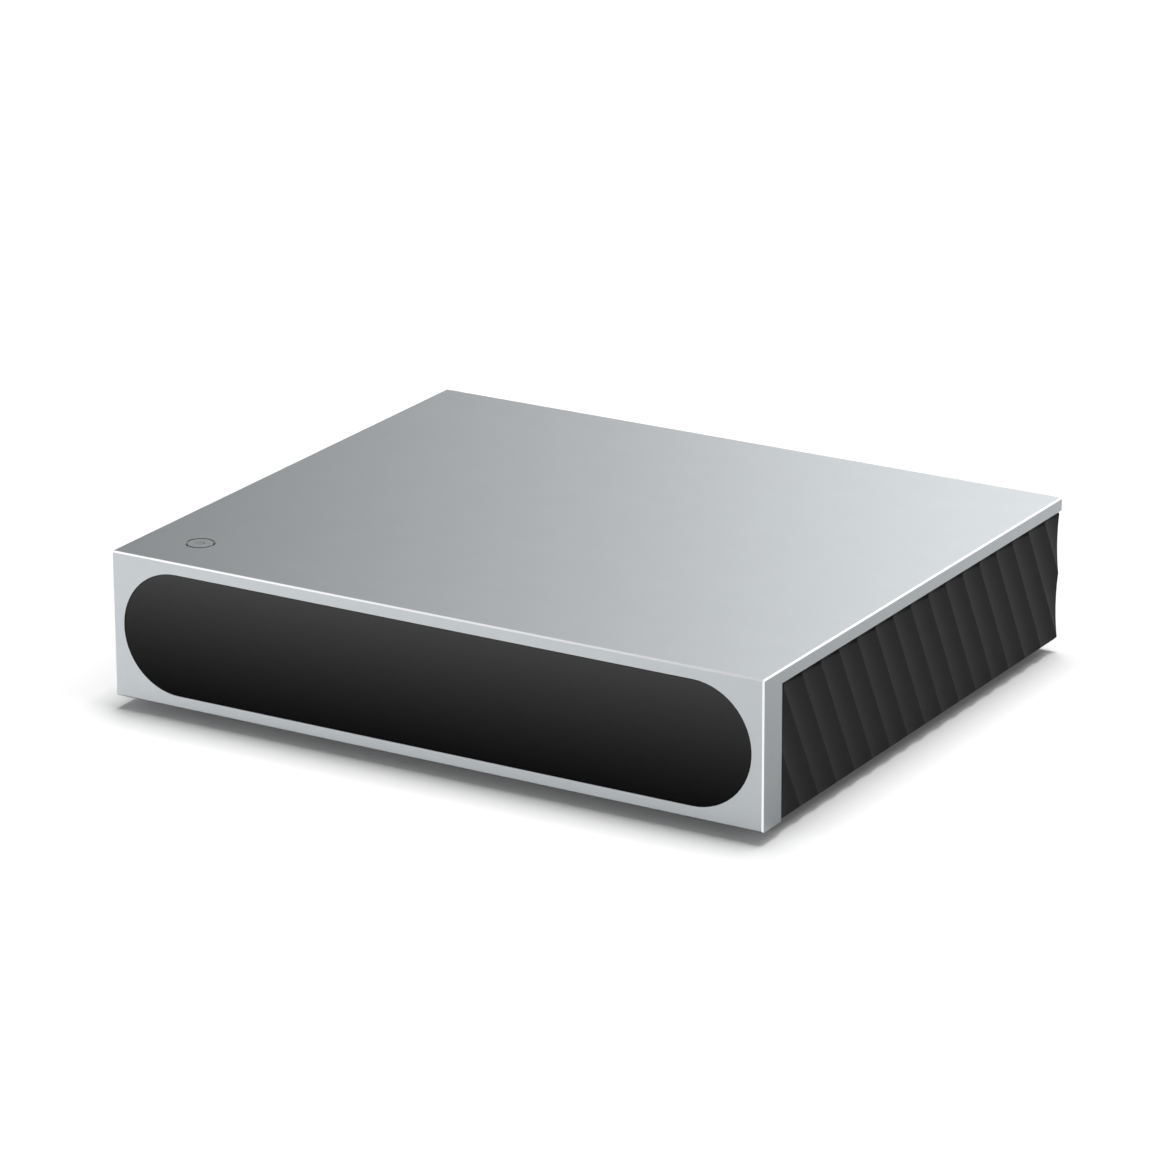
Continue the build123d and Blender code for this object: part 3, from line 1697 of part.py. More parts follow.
ribbon_width = 14.0
ribbon_thickness = 0.3
ribbon_bend = 2.5
ribbon_run = 6.0
ribbon_plug_depth = 4.0
ribbon_plug_y = board_front + ribbon_run
ribbon_end_y = ribbon_plug_y - ribbon_plug_depth / 2
ribbon_end_z = board_top + display_socket_height / 2
ribbon_start_y = display_board_back + display_socket_depth

with BuildPart() as display_ribbon:
    block(
        about(0, display_socket_width),
        about(ribbon_plug_y, ribbon_plug_depth),
        (board_top, board_top + display_socket_height),
    )
    with BuildLine() as ribbon_route:
        FilletPolyline(
            (0, ribbon_start_y, display_socket_z),
            (0, ribbon_start_y + ribbon_run, display_socket_z),
            (0, ribbon_end_y - ribbon_run, ribbon_end_z),
            (0, ribbon_end_y, ribbon_end_z),
            radius=ribbon_bend,
        )
    ribbon_start = Plane(ribbon_route.line @ 0, x_dir=(1, 0, 0), z_dir=ribbon_route.line % 0)
    with BuildSketch(ribbon_start) as ribbon_section:
        Rectangle(ribbon_width, ribbon_thickness)
    sweep(ribbon_section.sketch, path=ribbon_route.line)
keep(display_ribbon, "display_ribbon")

coax_radius = 0.6
coax_bend = 3.0
lead_rise = 6.5
lead_first_run = 10.0  # straight out of each jack
lead_second_run = 21.0  # from the jack's end to where each lead turns across the case
lead_third_run = 27.5
right_lead_inset = 15.3  # from the jack towards the middle of the case
right_lead_reach = 28.3  # from the module to the last turn before it
right_lead_rise = 13.2  # above the main board
left_lead_inset = 7.3
left_lead_reach = -21.7
left_lead_drop = 9.9  # below the top
lead_end_z = module_top + lead_socket_height
right_socket_x = module_x + lead_spacing / 2
left_socket_x = module_x - lead_spacing / 2
lead_second_y = antenna_nose_end - lead_second_run
lead_third_y = antenna_nose_end - lead_third_run

with BuildPart() as antenna_leads:
    right_route = [
        (right_antenna_x, antenna_nose_end, antenna_z),
        (right_antenna_x, antenna_nose_end - lead_first_run, antenna_z),
        (right_antenna_x - right_lead_inset, lead_second_y, board_top + right_lead_rise),
        (module_x + right_lead_reach, lead_third_y, board_top + right_lead_rise),
        (right_socket_x, lead_socket_y, lead_end_z + lead_rise),
        (right_socket_x, lead_socket_y, lead_end_z),
    ]
    left_route = [
        (left_antenna_x, antenna_nose_end, antenna_z),
        (left_antenna_x, antenna_nose_end - lead_first_run, antenna_z),
        (left_antenna_x + left_lead_inset, lead_second_y, top_under - left_lead_drop),
        (module_x + left_lead_reach, lead_third_y, top_under - left_lead_drop),
        (left_socket_x, lead_socket_y, lead_end_z + lead_rise),
        (left_socket_x, lead_socket_y, lead_end_z),
    ]
    for route in (right_route, left_route):
        cable(route, coax_radius, coax_bend)
keep(antenna_leads, "antenna_leads")
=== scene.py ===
import math

import bmesh
import bpy
from mathutils import Matrix, Vector


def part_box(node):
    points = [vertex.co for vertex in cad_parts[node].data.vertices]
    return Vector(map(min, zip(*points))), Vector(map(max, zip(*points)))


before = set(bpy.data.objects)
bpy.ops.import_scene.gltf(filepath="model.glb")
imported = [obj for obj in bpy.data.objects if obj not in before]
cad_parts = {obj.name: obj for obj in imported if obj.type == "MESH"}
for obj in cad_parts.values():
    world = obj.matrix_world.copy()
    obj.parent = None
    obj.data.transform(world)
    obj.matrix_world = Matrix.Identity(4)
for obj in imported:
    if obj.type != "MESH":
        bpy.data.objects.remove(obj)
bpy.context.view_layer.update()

# Camera
# It looks down on the front and the right side through a long lens, as the photograph does. Its place and
# its angles follow from a fit to the case's edges.
azimuth, elevation, roll = [math.radians(angle) for angle in (30.8646, 19.2729, -0.2103)]
eye = (0.80644, -1.35760, 0.58035)
level = math.cos(elevation)
back = Vector((math.sin(azimuth) * level, -math.cos(azimuth) * level, math.sin(elevation)))
right = Vector((math.cos(azimuth), math.sin(azimuth), 0))
turned = Matrix((right, back.cross(right), back)).transposed() @ Matrix.Rotation(roll, 3, "Z")
camera = bpy.data.objects.new("camera", bpy.data.cameras.new("camera"))
camera.data.lens = 172.528
camera.data.clip_start, camera.data.clip_end = 0.05, 20
camera.matrix_world = Matrix.Translation(eye) @ turned.to_4x4()
bpy.context.collection.objects.link(camera)
bpy.context.scene.camera = camera
bpy.context.scene.view_settings.view_transform = "Standard"


# World
# A white room: what looks at it sees plain white, and what it lights gets soft light from every side.
class Signal:
    """One output of a shader node. Sums on it add Math nodes, and node() adds any other kind of node."""

    def __init__(self, tree, socket=None):
        self.tree = tree
        self.socket = socket

    def node(self, kind, settings=None, values=None, output=0):
        """A node: its settings first, then its sockets' values or links. A colour gets its fourth part."""
        made = self.tree.nodes.new("ShaderNode" + kind)
        for name, setting in (settings or {}).items():
            if name == "stops":
                for _ in setting[2:]:
                    made.color_ramp.elements.new(0.5)
                for element, (position, colour) in zip(made.color_ramp.elements, setting):
                    element.position = position
                    element.color = (*colour, 1)
            else:
                setattr(made, name, setting)
        for name, value in (values or {}).items():
            socket = made.inputs[name]
            if isinstance(value, Signal):
                self.tree.links.new(value.socket, socket)
            elif isinstance(value, tuple) and len(value) < len(socket.default_value):
                socket.default_value = (*value, 1)
            else:
                socket.default_value = value
        return Signal(self.tree, made.outputs[output] if made.outputs else None)

    def maths(self, operation, first, second=0.0):
        return self.node("Math", {"operation": operation}, {0: first, 1: second})

    def __add__(self, other):
        return self.maths("ADD", self, other)

    __radd__ = __add__

    def __sub__(self, other):
        return self.maths("SUBTRACT", self, other)

    def __rsub__(self, other):
        return self.maths("SUBTRACT", other, self)

    def __mul__(self, other):
        return self.maths("MULTIPLY", self, other)

    __rmul__ = __mul__

    def __truediv__(self, other):
        return self.maths("DIVIDE", self, other)

    def __mod__(self, other):
        return self.maths("FLOORED_MODULO", self, other)

    def __pow__(self, other):
        return self.maths("POWER", self, other)

    def __abs__(self):
        return self.maths("ABSOLUTE", self)

    def __lt__(self, other):
        return self.maths("LESS_THAN", self, other)

    def __gt__(self, other):
        return self.maths("GREATER_THAN", self, other)

    def ramp(self, low, high):
        """0 where the value is low, 1 where it is high, straight between them."""
        return self.node("MapRange", {"clamp": True}, {"Value": self, "From Min": low, "From Max": high})

    def axis(self, letter):
        return self.node("SeparateXYZ", None, {0: self}, letter)

    def place(self):
        """The point of the piece, in metres, from its object coordinates."""
        return self.node("TexCoord", output="Object")

    def distance(self, centre, letters):
        """How far this point is from the centre, measured along the named axes only."""
        steps = [self.axis(letter) - getattr(centre, letter.lower()) for letter in letters]
        return sum(step * step for step in steps) ** 0.5

    def grain(self, size, detail=2.0, stretch=(1, 1, 1)):
        """Noise from 0 to 1 in grains about size metres wide, and longer along axes with a small stretch."""
        mapped = self.node("Mapping", None, {"Vector": self.place(), "Scale": stretch})
        return self.node("TexNoise", None, {"Vector": mapped, "Scale": 1 / size, "Detail": detail})

    def blend(self, mask, first, second):
        """The first colour where the mask is 0 and the second where it is 1."""
        return self.node("Mix", {"data_type": "RGBA"}, {0: mask, 6: first, 7: second}, 2)

    def relief(self, height, depth):
        """A bump of that height signal, whose 1 stands depth metres above its 0."""
        return self.node("Bump", None, {"Height": height, "Distance": depth, "Strength": 1.0})

    def surface(self, **look):
        """The material's shader. A socket's name is written with _ for its space."""
        values = {name.replace("_", " "): value for name, value in look.items()}
        shader = self.node("BsdfPrincipled", None, values)
        self.node("OutputMaterial", None, {"Surface": shader})


world = bpy.data.worlds.new("white_room")
world.use_nodes = True
world.node_tree.nodes.clear()
bpy.context.scene.world = world
room = Signal(world.node_tree)
room_light = 0.22
seen = [room.node("LightPath", output=f"Is {ray} Ray") for ray in ("Camera", "Glossy", "Transmission")]
straight = room.maths("MAXIMUM", room.maths("MAXIMUM", seen[0], seen[1]), seen[2])
strength = straight * (1 - room_light) + room_light
white = room.node("Background", None, {"Color": (1, 1, 1), "Strength": strength})
room.node("OutputWorld", None, {"Surface": white})


# Floor
# A wide sheet of white paper. It keeps the soft shadow that the case throws round its foot. In reflections
# it is painted darker in front of the case and to its right, a painted shade that stands for that shadow as
# mirrored.
def new_finish(name):
    """A new material and the signal that its nodes start from."""
    material = bpy.data.materials.new(name)
    material.use_nodes = True
    material.node_tree.nodes.clear()
    return material, Signal(material.node_tree)


def new_piece(name, shape, material):
    """An object at the origin, made from a bmesh that holds the piece in its place."""
    mesh = bpy.data.meshes.new(name)
    shape.to_mesh(mesh)
    shape.free()
    mesh.materials.append(material)
    piece = bpy.data.objects.new(name, mesh)
    bpy.context.collection.objects.link(piece)
    return piece


shell_low, shell_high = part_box("top_shell")
floor_reach = 6
paper_colour, painted_shade_colour = (0.96, 0.96, 0.96), (0.36, 0.36, 0.36)
glow_from, glow_full = 0.2, 0.7
fan = math.radians(14.2)
edge_from, edge_full = -0.005, 0.015
near_reach, far_reach = 0.12, 0.3
left_end, right_end = -0.2, 0.12
front_end, front_foot = -0.21, -0.11
paper, sheet = new_finish("white_paper")
camera_ray, glossy_ray = [sheet.node("LightPath", output=f"Is {ray} Ray") for ray in ("Camera", "Glossy")]
spot = sheet.place()
x, y = [spot.axis(letter) for letter in "XY"]
beside = x > shell_high.x
behind_fan = (y - shell_low.y) * math.cos(fan) - (x - shell_high.x) * math.sin(fan)
thinning = 0.24 * behind_fan.ramp(0, near_reach) + 0.14 * behind_fan.ramp(near_reach, far_reach)
# Painted shade: glossy rays see the paper darker beside and in front of the case.
painted_shade_right = beside * behind_fan.ramp(edge_from, edge_full) * (1 - thinning)
painted_shade_front = (1 - beside) * (0.33 * x.ramp(left_end, right_end) + 0.12 * y.ramp(front_end, front_foot))
colour = sheet.blend(glossy_ray * (painted_shade_right + painted_shade_front), paper_colour, painted_shade_colour)
matt = sheet.node("BsdfDiffuse", None, {"Color": colour})
far_out = spot.distance(Vector((0, 0, 0)), "XYZ").ramp(glow_from, glow_full)
lift = sheet.node("Emission", None, {"Color": (1, 1, 1), "Strength": camera_ray * (0.06 + 0.5 * far_out)})
both = sheet.node("AddShader", None, {0: matt, 1: lift})
sheet.node("OutputMaterial", None, {"Surface": both})
shape = bmesh.new()
bmesh.ops.create_grid(shape, x_segments=1, y_segments=1, size=floor_reach)
new_piece("floor", shape, paper)


# Lamps
# A large soft box hangs over and behind the case, and a long one runs from over it far out to the right,
# which softens the shadow under its right side. Both throw soft light only.
def soft_box(name, place, width, height, radiance):
    """A rectangular lamp that faces straight down and shines with that radiance."""
    lamp = bpy.data.lights.new(name, "AREA")
    lamp.shape = "RECTANGLE"
    lamp.size, lamp.size_y = width, height
    lamp.energy = radiance * math.pi * width * height
    piece = bpy.data.objects.new(name, lamp)
    piece.matrix_world = Matrix.Translation(place)
    piece.visible_glossy = False
    bpy.context.collection.objects.link(piece)


soft_box("lamp_above", (-0.05, 0.53, 4), width=1.8, height=1.3, radiance=14.2)
soft_box("lamp_right", (1.45, 0.08, 4), width=3.6, height=0.9, radiance=5)


# Graded cards
# A tall card behind the case, dark at its left end, takes the top plate from grey to nearly white. Another,
# above the front left, makes the front's upper bevel greyer to the right. Only glossy surfaces see them.
def glossy_card(name, stops, depth, lean, centre):
    """A card along X. Each stop gives a place along X and how brightly the card shines there."""
    finish, paint = new_finish(name)
    left, right = stops[0][0], stops[-1][0]
    brightest = 2.0
    along = paint.place().axis("X").ramp(left, right)
    ramp = [((x - left) / (right - left), (glow / brightest,) * 3) for x, glow in stops]
    graded = along.node("ValToRGB", {"stops": ramp}, {"Fac": along})
    shining = paint.node("Emission", None, {"Color": graded, "Strength": brightest})
    paint.node("OutputMaterial", None, {"Surface": shining})
    shape = bmesh.new()
    bmesh.ops.create_grid(shape, x_segments=1, y_segments=1, size=0.5)
    bmesh.ops.scale(shape, vec=(right - left, depth, 1), verts=shape.verts)
    bmesh.ops.rotate(shape, matrix=Matrix.Rotation(math.radians(lean), 3, "X"), verts=shape.verts)
    bmesh.ops.translate(shape, vec=((left + right) / 2, *centre), verts=shape.verts)
    card = new_piece(name, shape, finish)
    for ray in ("camera", "diffuse", "transmission", "shadow"):
        setattr(card, f"visible_{ray}", False)


behind_stops = [(-1.1, 0.6), (-0.8, 0.15), (-0.528, 0.28), (-0.38, 0.51), (-0.319, 0.62), (-0.26, 0.73),
                (-0.222, 0.88), (-0.147, 1.09), (-0.097, 1.22), (0.1, 1.4), (0.9, 1.0)]
glossy_card("graded_card", behind_stops, depth=0.75, lean=90, centre=(0.5, 0.375))
above_stops = [(-2.6, 1.15), (-1.45, 1.15), (-1.0, 0.6), (0.2, 0.6)]
glossy_card("overhead_card", above_stops, depth=1.6, lean=0, centre=(-0.9, 2.0))


# Bottom plate and rear panel
# Folded steel sheet, powder-coated black: the coat has a fine pebbled skin and is a little glossier on its
# bumps.
def dress(material, *names):
    """Gives CAD nodes their finish through the slots of their objects."""
    for name in names:
        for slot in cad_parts[name].material_slots:
            slot.material = material


black_steel, paint = new_finish("powder_coated_steel")
pebbles = paint.grain(0.0006, detail=3.0)
cloud = paint.grain(0.03)
paint.surface(Base_Color=paint.blend(cloud, (0.017, 0.017, 0.018), (0.026, 0.026, 0.027)),
              Roughness=0.62 - 0.16 * pebbles, Normal=paint.relief(pebbles, 0.00008))
dress(black_steel, "bottom_plate", "rear_panel")

# Feet
# Four low pads of moulded black rubber, each held by a screw up into the bottom plate.
rubber, paint = new_finish("moulded_rubber")
dust = paint.grain(0.004, detail=4.0)
pores = paint.grain(0.0003)
paint.surface(Base_Color=paint.blend(dust, (0.012, 0.012, 0.012), (0.03, 0.03, 0.03)),
              Roughness=0.75 + 0.15 * dust, Specular_IOR_Level=0.35, Normal=paint.relief(pores, 0.00004))
dress(rubber, "foot_front_left", "foot_front_right", "foot_rear_left", "foot_rear_right")

# Top shell, the button's cap and the bracket of the processor
# Thick aluminium, blasted with fine beads and anodised without colour. The narrow bevels are cut after that,
# which leaves them bright and smooth. The slopes round the button are painted glossy black, a painted shade
# for the groove.
silver, paint = new_finish("blasted_aluminium")
bevel_width = 0.000449
groove_radius, groove_reach = 0.00416, 0.00042
slope_height, slope_reach = 0.04872, 0.000275
place = paint.place()
x, y, z = [place.axis(letter) for letter in "XYZ"]
gaps = [shell_high.x - abs(x), y - shell_low.y, shell_high.y - y, shell_high.z - z]
cut = sum(gap < bevel_width for gap in gaps) > 1.5
button_low, button_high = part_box("power_button")
from_button = place.distance((button_low + button_high) / 2, "XY")
# Painted shade: the slopes of the button's groove are black, standing for the shade in the groove.
painted_shade_slopes = (abs(from_button - groove_radius) < groove_reach) * (abs(z - slope_height) < slope_reach)
beads = paint.grain(0.00022)
mottle = paint.grain(0.012, detail=3.0)
blasted = paint.blend(mottle, (0.598, 0.630, 0.648), (0.632, 0.664, 0.680))
bright = paint.blend(cut, blasted, (0.93, 0.935, 0.94))
rough = 0.33 + 0.05 * beads
rough = rough - (rough - 0.16) * cut
rough = rough - (rough - 0.12) * painted_shade_slopes
paint.surface(Base_Color=paint.blend(painted_shade_slopes, bright, (0.006, 0.006, 0.0065)), Metallic=1 - painted_shade_slopes,
              Coat_Weight=painted_shade_slopes, Roughness=rough,
              Normal=paint.relief(beads * (1 - cut) * (1 - painted_shade_slopes), 0.000004))
dress(silver, "top_shell", "power_button", "heat_bridge")

# Front window
# A flat pill of smoked polycarbonate with a hard glossy coat, stuck into the front with a ring of black
# tape.
# Towards the top it is painted lighter and its coat stronger: a painted reflection of the floor, darker near
# the case.
window, paint = new_finish("smoked_polycarbonate")
lens_low, lens_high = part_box("front_lens")
# Painted reflection: the window's colour and coat weight rise with this height.
height = paint.place().axis("Z").ramp(lens_low.z, lens_high.z)
haze = paint.grain(0.02)
paint.surface(Base_Color=paint.blend(height * height, (0.004, 0.004, 0.0045), (0.018, 0.018, 0.019)),
              Roughness=0.05 + 0.02 * haze, Specular_IOR_Level=0.03,
              Coat_Weight=0.02 + height * (0.59 + 0.39 * height), Coat_Roughness=0.03, Coat_IOR=1.5)
dress(window, "front_lens")

# Side panels and the supply's heat sink
# Extruded aluminium, anodised black. The side panels are milled into slanted flutes and cool the case. The
# narrow strip along their upper edge is painted deepest black, a painted shade for the gap under the top
# shell.
black_aluminium, paint = new_finish("black_anodised_aluminium")
shade_strip_from, shade_strip_full = 0.0431, 0.0434
tooling = paint.grain(0.0004, stretch=(1, 0.1, 0.1))
# Painted shade: the band under the top shell's lip is near black, standing for the shadow in that gap.
painted_shade_strip = paint.place().axis("Z").ramp(shade_strip_from, shade_strip_full)
flutes = paint.blend(tooling, (0.0155, 0.0155, 0.016), (0.0205, 0.0205, 0.021))
paint.surface(Base_Color=paint.blend(painted_shade_strip, flutes, (0.001, 0.001, 0.001)), Metallic=painted_shade_strip,
              Roughness=0.44 + 0.1 * tooling, Specular_IOR_Level=0.1, Normal=paint.relief(tooling, 0.000006))
dress(black_aluminium, "left_heat_sink", "right_heat_sink", "supply_heat_sink")

# Light pipe
# A small rod of smoky plastic in the middle of the button, whose end shows as a satin grey disc. A pinhole
# near its rim lets the lamp's light out. It is painted on the disc as a dark dot, a painted shade for the
# unlit hole.
pipe_glass, paint = new_finish("smoky_light_pipe")
pinhole_radius = 0.0003
pinhole_offset = Vector((0.00098, 0.00056))
pipe_low, pipe_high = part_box("button_light_pipe")
pinhole_place = ((pipe_low + pipe_high) / 2).xy + pinhole_offset
# Painted shade: a dark dot on the disc stands for the pinhole.
painted_pinhole_shade = paint.place().distance(pinhole_place, "XY") < pinhole_radius
swirl = paint.grain(0.0004)
grey = paint.blend(swirl, (0.19, 0.195, 0.2), (0.225, 0.23, 0.235))
paint.surface(Base_Color=paint.blend(painted_pinhole_shade, grey, (0.01, 0.01, 0.01)), Roughness=0.42 + 0.1 * swirl,
              Normal=paint.relief(swirl, 0.000003))
dress(pipe_glass, "button_light_pipe")

# Screws, standoffs and the button's clip
# Turned and rolled steel: the screws that hold the case together are blackened in oil. Those of the feet
# and the boards, the standoffs and the clip are plated with zinc.
blackened, paint = new_finish("blackened_steel")
turning = paint.grain(0.0003, detail=3.0)
paint.surface(Base_Color=paint.blend(turning, (0.018, 0.018, 0.019), (0.05, 0.05, 0.052)), Metallic=1.0,
              Roughness=0.36 + 0.16 * turning, Normal=paint.relief(turning, 0.000006))
dress(blackened, "case_screws", "bottom_screws")

zinc, paint = new_finish("zinc_plated_steel")
bloom = paint.grain(0.0012, detail=3.0)
paint.surface(Base_Color=paint.blend(bloom, (0.50, 0.52, 0.55), (0.68, 0.69, 0.70)), Metallic=1.0,
              Roughness=0.28 + 0.18 * bloom, Normal=paint.relief(bloom, 0.000006))
dress(zinc, "small_screws", "board_screws", "board_standoffs", "foot_screws", "button_clip")

# Tape and thermal pad
# The window sticks to a ring of black foam tape, and a soft pad carries the processor's heat to its
# bracket.
foam, paint = new_finish("foam_tape")
cells = paint.grain(0.0002, detail=3.0)
paint.surface(Base_Color=paint.blend(cells, (0.008, 0.008, 0.008), (0.025, 0.025, 0.025)),
              Roughness=0.9 - 0.1 * cells, Normal=paint.relief(cells, 0.00005))
dress(foam, "lens_tape")

pad, paint = new_finish("soft_thermal_pad")
filler = paint.grain(0.0003, detail=4.0)
paint.surface(Base_Color=paint.blend(filler, (0.30, 0.36, 0.46), (0.40, 0.46, 0.56)),
              Roughness=0.7 + 0.15 * filler, Normal=paint.relief(filler, 0.00002))
dress(pad, "thermal_pad")

# Display
# A dark glass panel of fine dots behind the smoked window. The unit is asleep, so none of them shines.
glass, paint = new_finish("display_glass")
dot_pitch = 0.0004
dot_reach = dot_pitch * 0.4
place = paint.place()
across, up = [abs(place.axis(letter) % dot_pitch - dot_pitch / 2) for letter in "XZ"]
dots = (across < dot_reach) * (up < dot_reach)
paint.surface(Base_Color=paint.blend(dots, (0.004, 0.004, 0.005), (0.012, 0.013, 0.018)),
              Roughness=0.12 + 0.1 * dots, Coat_Weight=1.0, Coat_Roughness=0.02)
dress(glass, "display_panel")

# Moulded black plastic
# Sockets, housings, the mains inlet and the display's tray, moulded in a black glass-filled plastic whose
# skin takes the fine spark-eroded texture of its mould.
black_plastic, paint = new_finish("moulded_black_plastic")
skin = paint.grain(0.00025, detail=3.0)
flow = paint.grain(0.008, stretch=(1, 1, 0.3))
paint.surface(Base_Color=paint.blend(flow, (0.014, 0.014, 0.015), (0.024, 0.024, 0.025)),
              Roughness=0.48 + 0.16 * skin, Normal=paint.relief(skin, 0.00002))
dress(black_plastic, "mains_inlet", "rocker_housing", "trigger_jack", "optical_jack", "port_tongues",
      "phono_bodies", "display_tray", "remote_receiver", "button_switch")

# Grey plastic
# The flap of the optical output, the switch's plunger and the supply's film capacitor, choke and fuse, all
# with the slightly rough skin that a mould leaves.
grey_plastic, paint = new_finish("moulded_grey_plastic")
skin = paint.grain(0.0003, detail=3.0)
paint.surface(Base_Color=paint.blend(skin, (0.15, 0.15, 0.155), (0.19, 0.19, 0.195)),
              Roughness=0.5 + 0.14 * skin, Normal=paint.relief(skin, 0.000015))
dress(grey_plastic, "optical_flap", "switch_plunger", "supply_parts")

# Rocker of the mains switch
# Smoother black plastic than its housing's, with the usual line for on and ring for off printed in white on
# its face.
rocker_black, paint = new_finish("rocker_plastic")
mark_rise, mark_size, stroke = 0.0043, 0.0013, 0.0003
face_from = 0.0855
rocker_low, rocker_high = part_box("rocker")
middle = (rocker_low + rocker_high) / 2
place = paint.place()
sideways, upwards = place.axis("X") - middle.x, place.axis("Z") - middle.z
line = (abs(sideways) < stroke / 2) * (abs(upwards - mark_rise) < mark_size)
from_ring = place.distance(middle - Vector((0, 0, mark_rise)), "XZ")
ring = abs(from_ring - mark_size) < stroke / 2
marks = (line + ring) * (place.axis("Y") > face_from)
skin = paint.grain(0.0004)
black = paint.blend(skin, (0.012, 0.012, 0.013), (0.018, 0.018, 0.019))
paint.surface(Base_Color=paint.blend(marks, black, (0.7, 0.7, 0.69)), Roughness=0.3 + 0.12 * skin,
              Normal=paint.relief(skin, 0.000008))
dress(rocker_black, "rocker")

# Tinned sheet metal
# The shells of the network and memory-stick sockets, the wireless part's can and the inlet's blades, all
# stamped from tin-plated sheet that keeps the fine lines of its rolling.
tin, paint = new_finish("tin_plate")
rolled = paint.grain(0.0003, detail=3.0, stretch=(1, 0.05, 1))
stain = paint.grain(0.005)
paint.surface(Base_Color=paint.blend(stain, (0.60, 0.60, 0.58), (0.72, 0.72, 0.70)), Metallic=1.0,
              Roughness=0.2 + 0.16 * rolled, Normal=paint.relief(rolled, 0.000004))
dress(tin, "usb_jacks", "network_jack", "link_jack", "wireless_module", "mains_contacts")


# Gold-plated metal
# Turned brass with a thin layer of gold: the phono barrels and the antenna jacks, with their threads and
# nuts. The springs of the network socket have the same layer.
def tarnished_gold(paint):
    """The gold's tarnish and its colour."""
    tarnish = paint.grain(0.004)
    return tarnish, paint.blend(tarnish, (0.72, 0.47, 0.17), (0.86, 0.62, 0.27))


gold, paint = new_finish("gold_plate")
lathe = paint.grain(0.0002, stretch=(1, 0.2, 1))
tarnish, gold_colour = tarnished_gold(paint)
paint.surface(Base_Color=gold_colour, Metallic=1.0, Roughness=0.18 + 0.12 * lathe,
              Normal=paint.relief(lathe, 0.000004))
dress(gold, "phono_barrels", "antenna_nuts", "network_contacts")

gold_thread, paint = new_finish("threaded_gold_plate")
thread_from, thread_to, thread_half_pitch = 0.0882, 0.0926, 0.00035
along = paint.place().axis("Y")
threaded = (along > thread_from) * (along < thread_to)
crest = abs(along % (2 * thread_half_pitch) - thread_half_pitch) / thread_half_pitch * threaded
tarnish, gold_colour = tarnished_gold(paint)
paint.surface(Base_Color=paint.blend(crest, gold_colour, (0.9, 0.68, 0.33)), Metallic=1.0,
              Roughness=0.2 + 0.1 * tarnish, Normal=paint.relief(crest, 0.00025))
dress(gold_thread, "antenna_jacks")

# Coloured inserts of the phono jacks
# Glossy insulators whose colours follow the usual code: orange for the coaxial output, white for left, red
# for right.
inserts, paint = new_finish("coloured_insulators")
insert_low, insert_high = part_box("phono_inserts")
third = (insert_high.x - insert_low.x) / 3
side = paint.place().axis("X")
tint = paint.blend(side > insert_low.x + third, (0.80, 0.20, 0.02), (0.82, 0.81, 0.78))
tint = paint.blend(side > insert_high.x - third, tint, (0.62, 0.02, 0.02))
sink_mark = paint.grain(0.0015)
paint.surface(Base_Color=tint, Roughness=0.22 + 0.14 * sink_mark, Normal=paint.relief(sink_mark, 0.00001))
dress(inserts, "phono_inserts")


# Boards
# Glass-fibre boards under a coat of solder mask, with copper tracks that show as slightly lighter lines and
# with small tinned holes between the layers. The display's board has a black mask.
def board_finish(name, second_axis, mask_colour, track_colour):
    """A board's finish. Its tracks lie along X and along the second axis."""
    material, paint = new_finish(name)
    pitch, track_reach, hole_radius = 0.00127, 0.00025, 0.0003
    across_over, along_under, holes_over = 0.53, 0.45, 0.66
    place = paint.place()
    across, along = [place.axis(letter) % pitch - pitch / 2 for letter in ("X", second_axis)]
    patch = paint.grain(0.011, detail=0.0)
    tracks_across = (abs(across) < track_reach) * (patch > across_over)
    tracks = tracks_across + (abs(along) < track_reach) * (patch < along_under)
    crossing = across * across + along * along < hole_radius ** 2
    holes = crossing * (paint.grain(0.0035, detail=0.0) > holes_over)
    weave = paint.grain(0.0004)
    mask = paint.blend(weave, mask_colour, tuple(part * 1.25 for part in mask_colour))
    colour = paint.blend(tracks, mask, track_colour)
    paint.surface(Base_Color=paint.blend(holes, colour, (0.55, 0.54, 0.50)), Metallic=holes,
                  Roughness=0.32 + 0.1 * weave, Normal=paint.relief(tracks + holes, 0.00003))
    return material


green_board = board_finish("green_board", "Y", (0.008, 0.075, 0.026), (0.018, 0.14, 0.045))
dress(green_board, "main_board", "supply_board", "switch_board")
black_board = board_finish("black_board", "Z", (0.006, 0.007, 0.008), (0.016, 0.017, 0.018))
dress(black_board, "display_board")

# Chips and processor
# Integrated circuits and relays, moulded in black epoxy. The fine sand in it keeps the skin matt.
epoxy, paint = new_finish("chip_epoxy")
sand = paint.grain(0.0002, detail=3.0)
paint.surface(Base_Color=paint.blend(sand, (0.016, 0.016, 0.017), (0.032, 0.032, 0.033)),
              Roughness=0.55 + 0.15 * sand, Normal=paint.relief(sand, 0.000012))
dress(epoxy, "board_chips", "processor")

# Capacitors
# Aluminium cans in dark blue shrink sleeves, which leave their tops bare. They are soldered upright to
# their boards.
sleeve, paint = new_finish("sleeved_cans")
facing_up = 0.9
bare_top = paint.node("NewGeometry", output="Normal").axis("Z") > facing_up
wrap = paint.grain(0.0006, detail=3.0, stretch=(1, 1, 0.1))
dark = paint.blend(wrap, (0.012, 0.013, 0.035), (0.022, 0.024, 0.055))
paint.surface(Base_Color=paint.blend(bare_top, dark, (0.66, 0.67, 0.68)), Metallic=bare_top,
              Roughness=0.26 + 0.14 * wrap, Normal=paint.relief(wrap, 0.00001))
dress(sleeve, "capacitors")

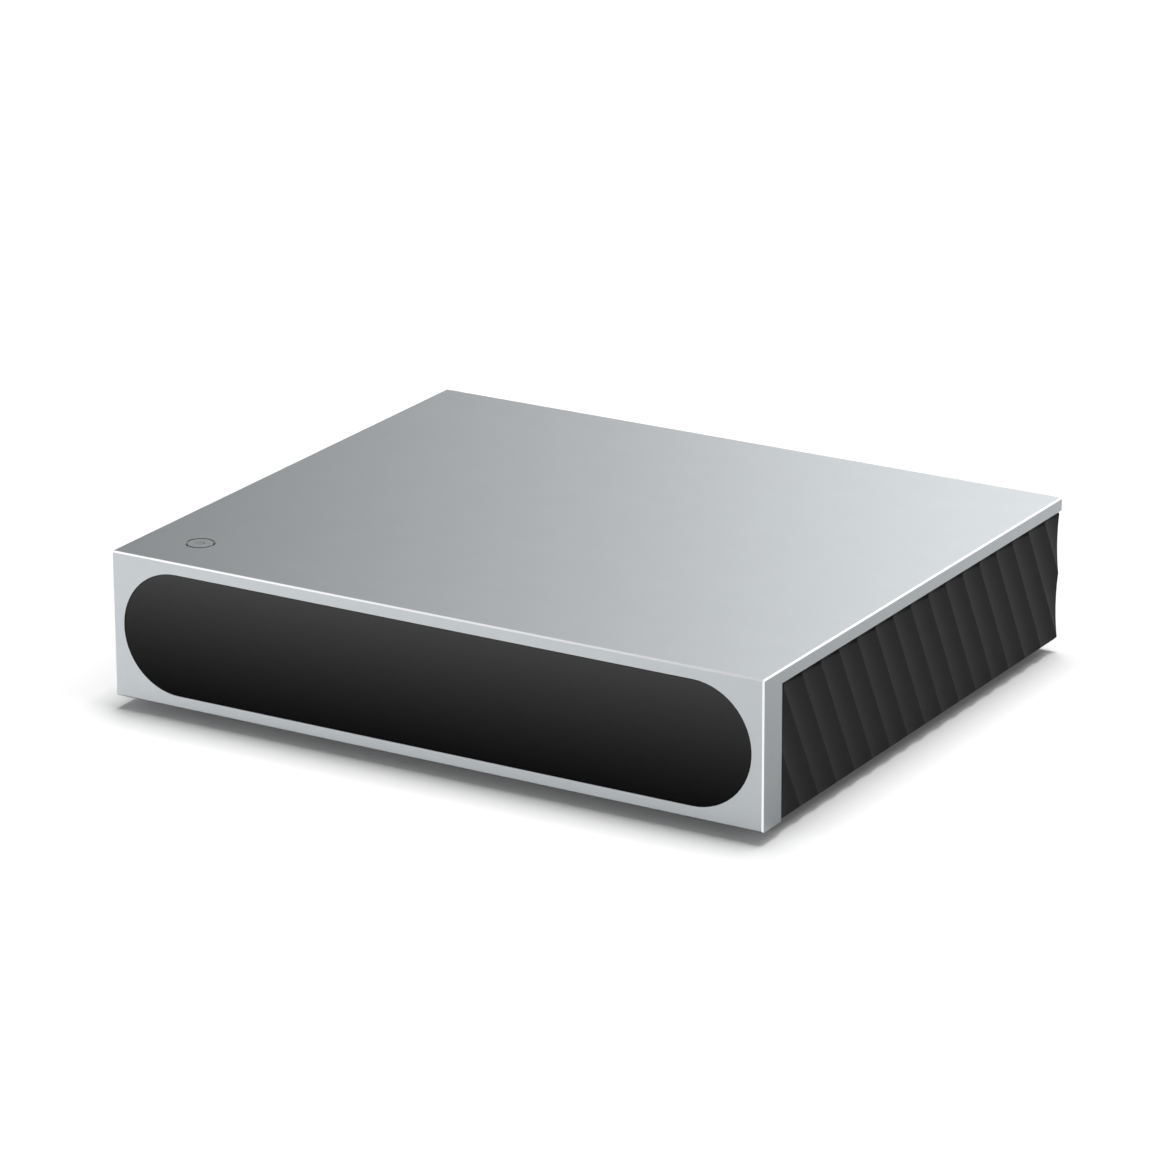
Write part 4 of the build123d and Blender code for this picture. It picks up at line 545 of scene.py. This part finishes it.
# Transformer
# Two halves of dark grey ferrite, pressed round a coil that is wound with yellow tape.
wound, paint = new_finish("ferrite_and_tape")
tape_share, tape_width, seam_width = 0.3, 0.004, 0.00015
wound_low, wound_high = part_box("supply_transformer")
wound_middle = (wound_low + wound_high) / 2
place = paint.place()
taped = abs(place.axis("Y") - wound_middle.y) < (wound_high.y - wound_low.y) * tape_share
seam = place.axis("Z") % tape_width < seam_width
grit = paint.grain(0.0004, detail=3.0)
core = paint.blend(grit, (0.025, 0.025, 0.027), (0.05, 0.05, 0.053))
tape = paint.blend(seam, (0.62, 0.42, 0.05), (0.35, 0.22, 0.02))
paint.surface(Base_Color=paint.blend(taped, core, tape), Roughness=0.6 - 0.25 * taped,
              Normal=paint.relief(grit * (1 - taped), 0.00003))
dress(wound, "supply_transformer")

# Wires
# Stranded copper in soft PVC. The mains wires are brown to the left and blue to the right, the others
# black.
mains_sleeve, paint = new_finish("mains_wire_sleeve")
blue_from = -0.058
ripple = paint.grain(0.002)
to_the_right = paint.place().axis("X") > blue_from
paint.surface(Base_Color=paint.blend(to_the_right, (0.10, 0.035, 0.015), (0.02, 0.06, 0.30)),
              Roughness=0.35 + 0.12 * ripple, Normal=paint.relief(ripple, 0.00003))
dress(mains_sleeve, "mains_wires")

wire_sleeve, paint = new_finish("black_wire_sleeve")
ripple = paint.grain(0.002)
paint.surface(Base_Color=paint.blend(ripple, (0.014, 0.014, 0.014), (0.026, 0.026, 0.026)),
              Roughness=0.36 + 0.14 * ripple, Normal=paint.relief(ripple, 0.00003))
dress(wire_sleeve, "power_harness", "button_cable", "antenna_leads")

# Display ribbon
# White film with flat tinned conductors inside, which show through it as fine grey lines.
film, paint = new_finish("ribbon_film")
conductor_pitch, conductor_reach = 0.001, 0.00033
conductors = abs(paint.place().axis("X") % conductor_pitch - conductor_pitch / 2) < conductor_reach
crease = paint.grain(0.003)
paint.surface(Base_Color=paint.blend(conductors, (0.72, 0.72, 0.70), (0.42, 0.43, 0.44)),
              Roughness=0.28 + 0.14 * crease, Normal=paint.relief(conductors, 0.00002))
dress(film, "display_ribbon")
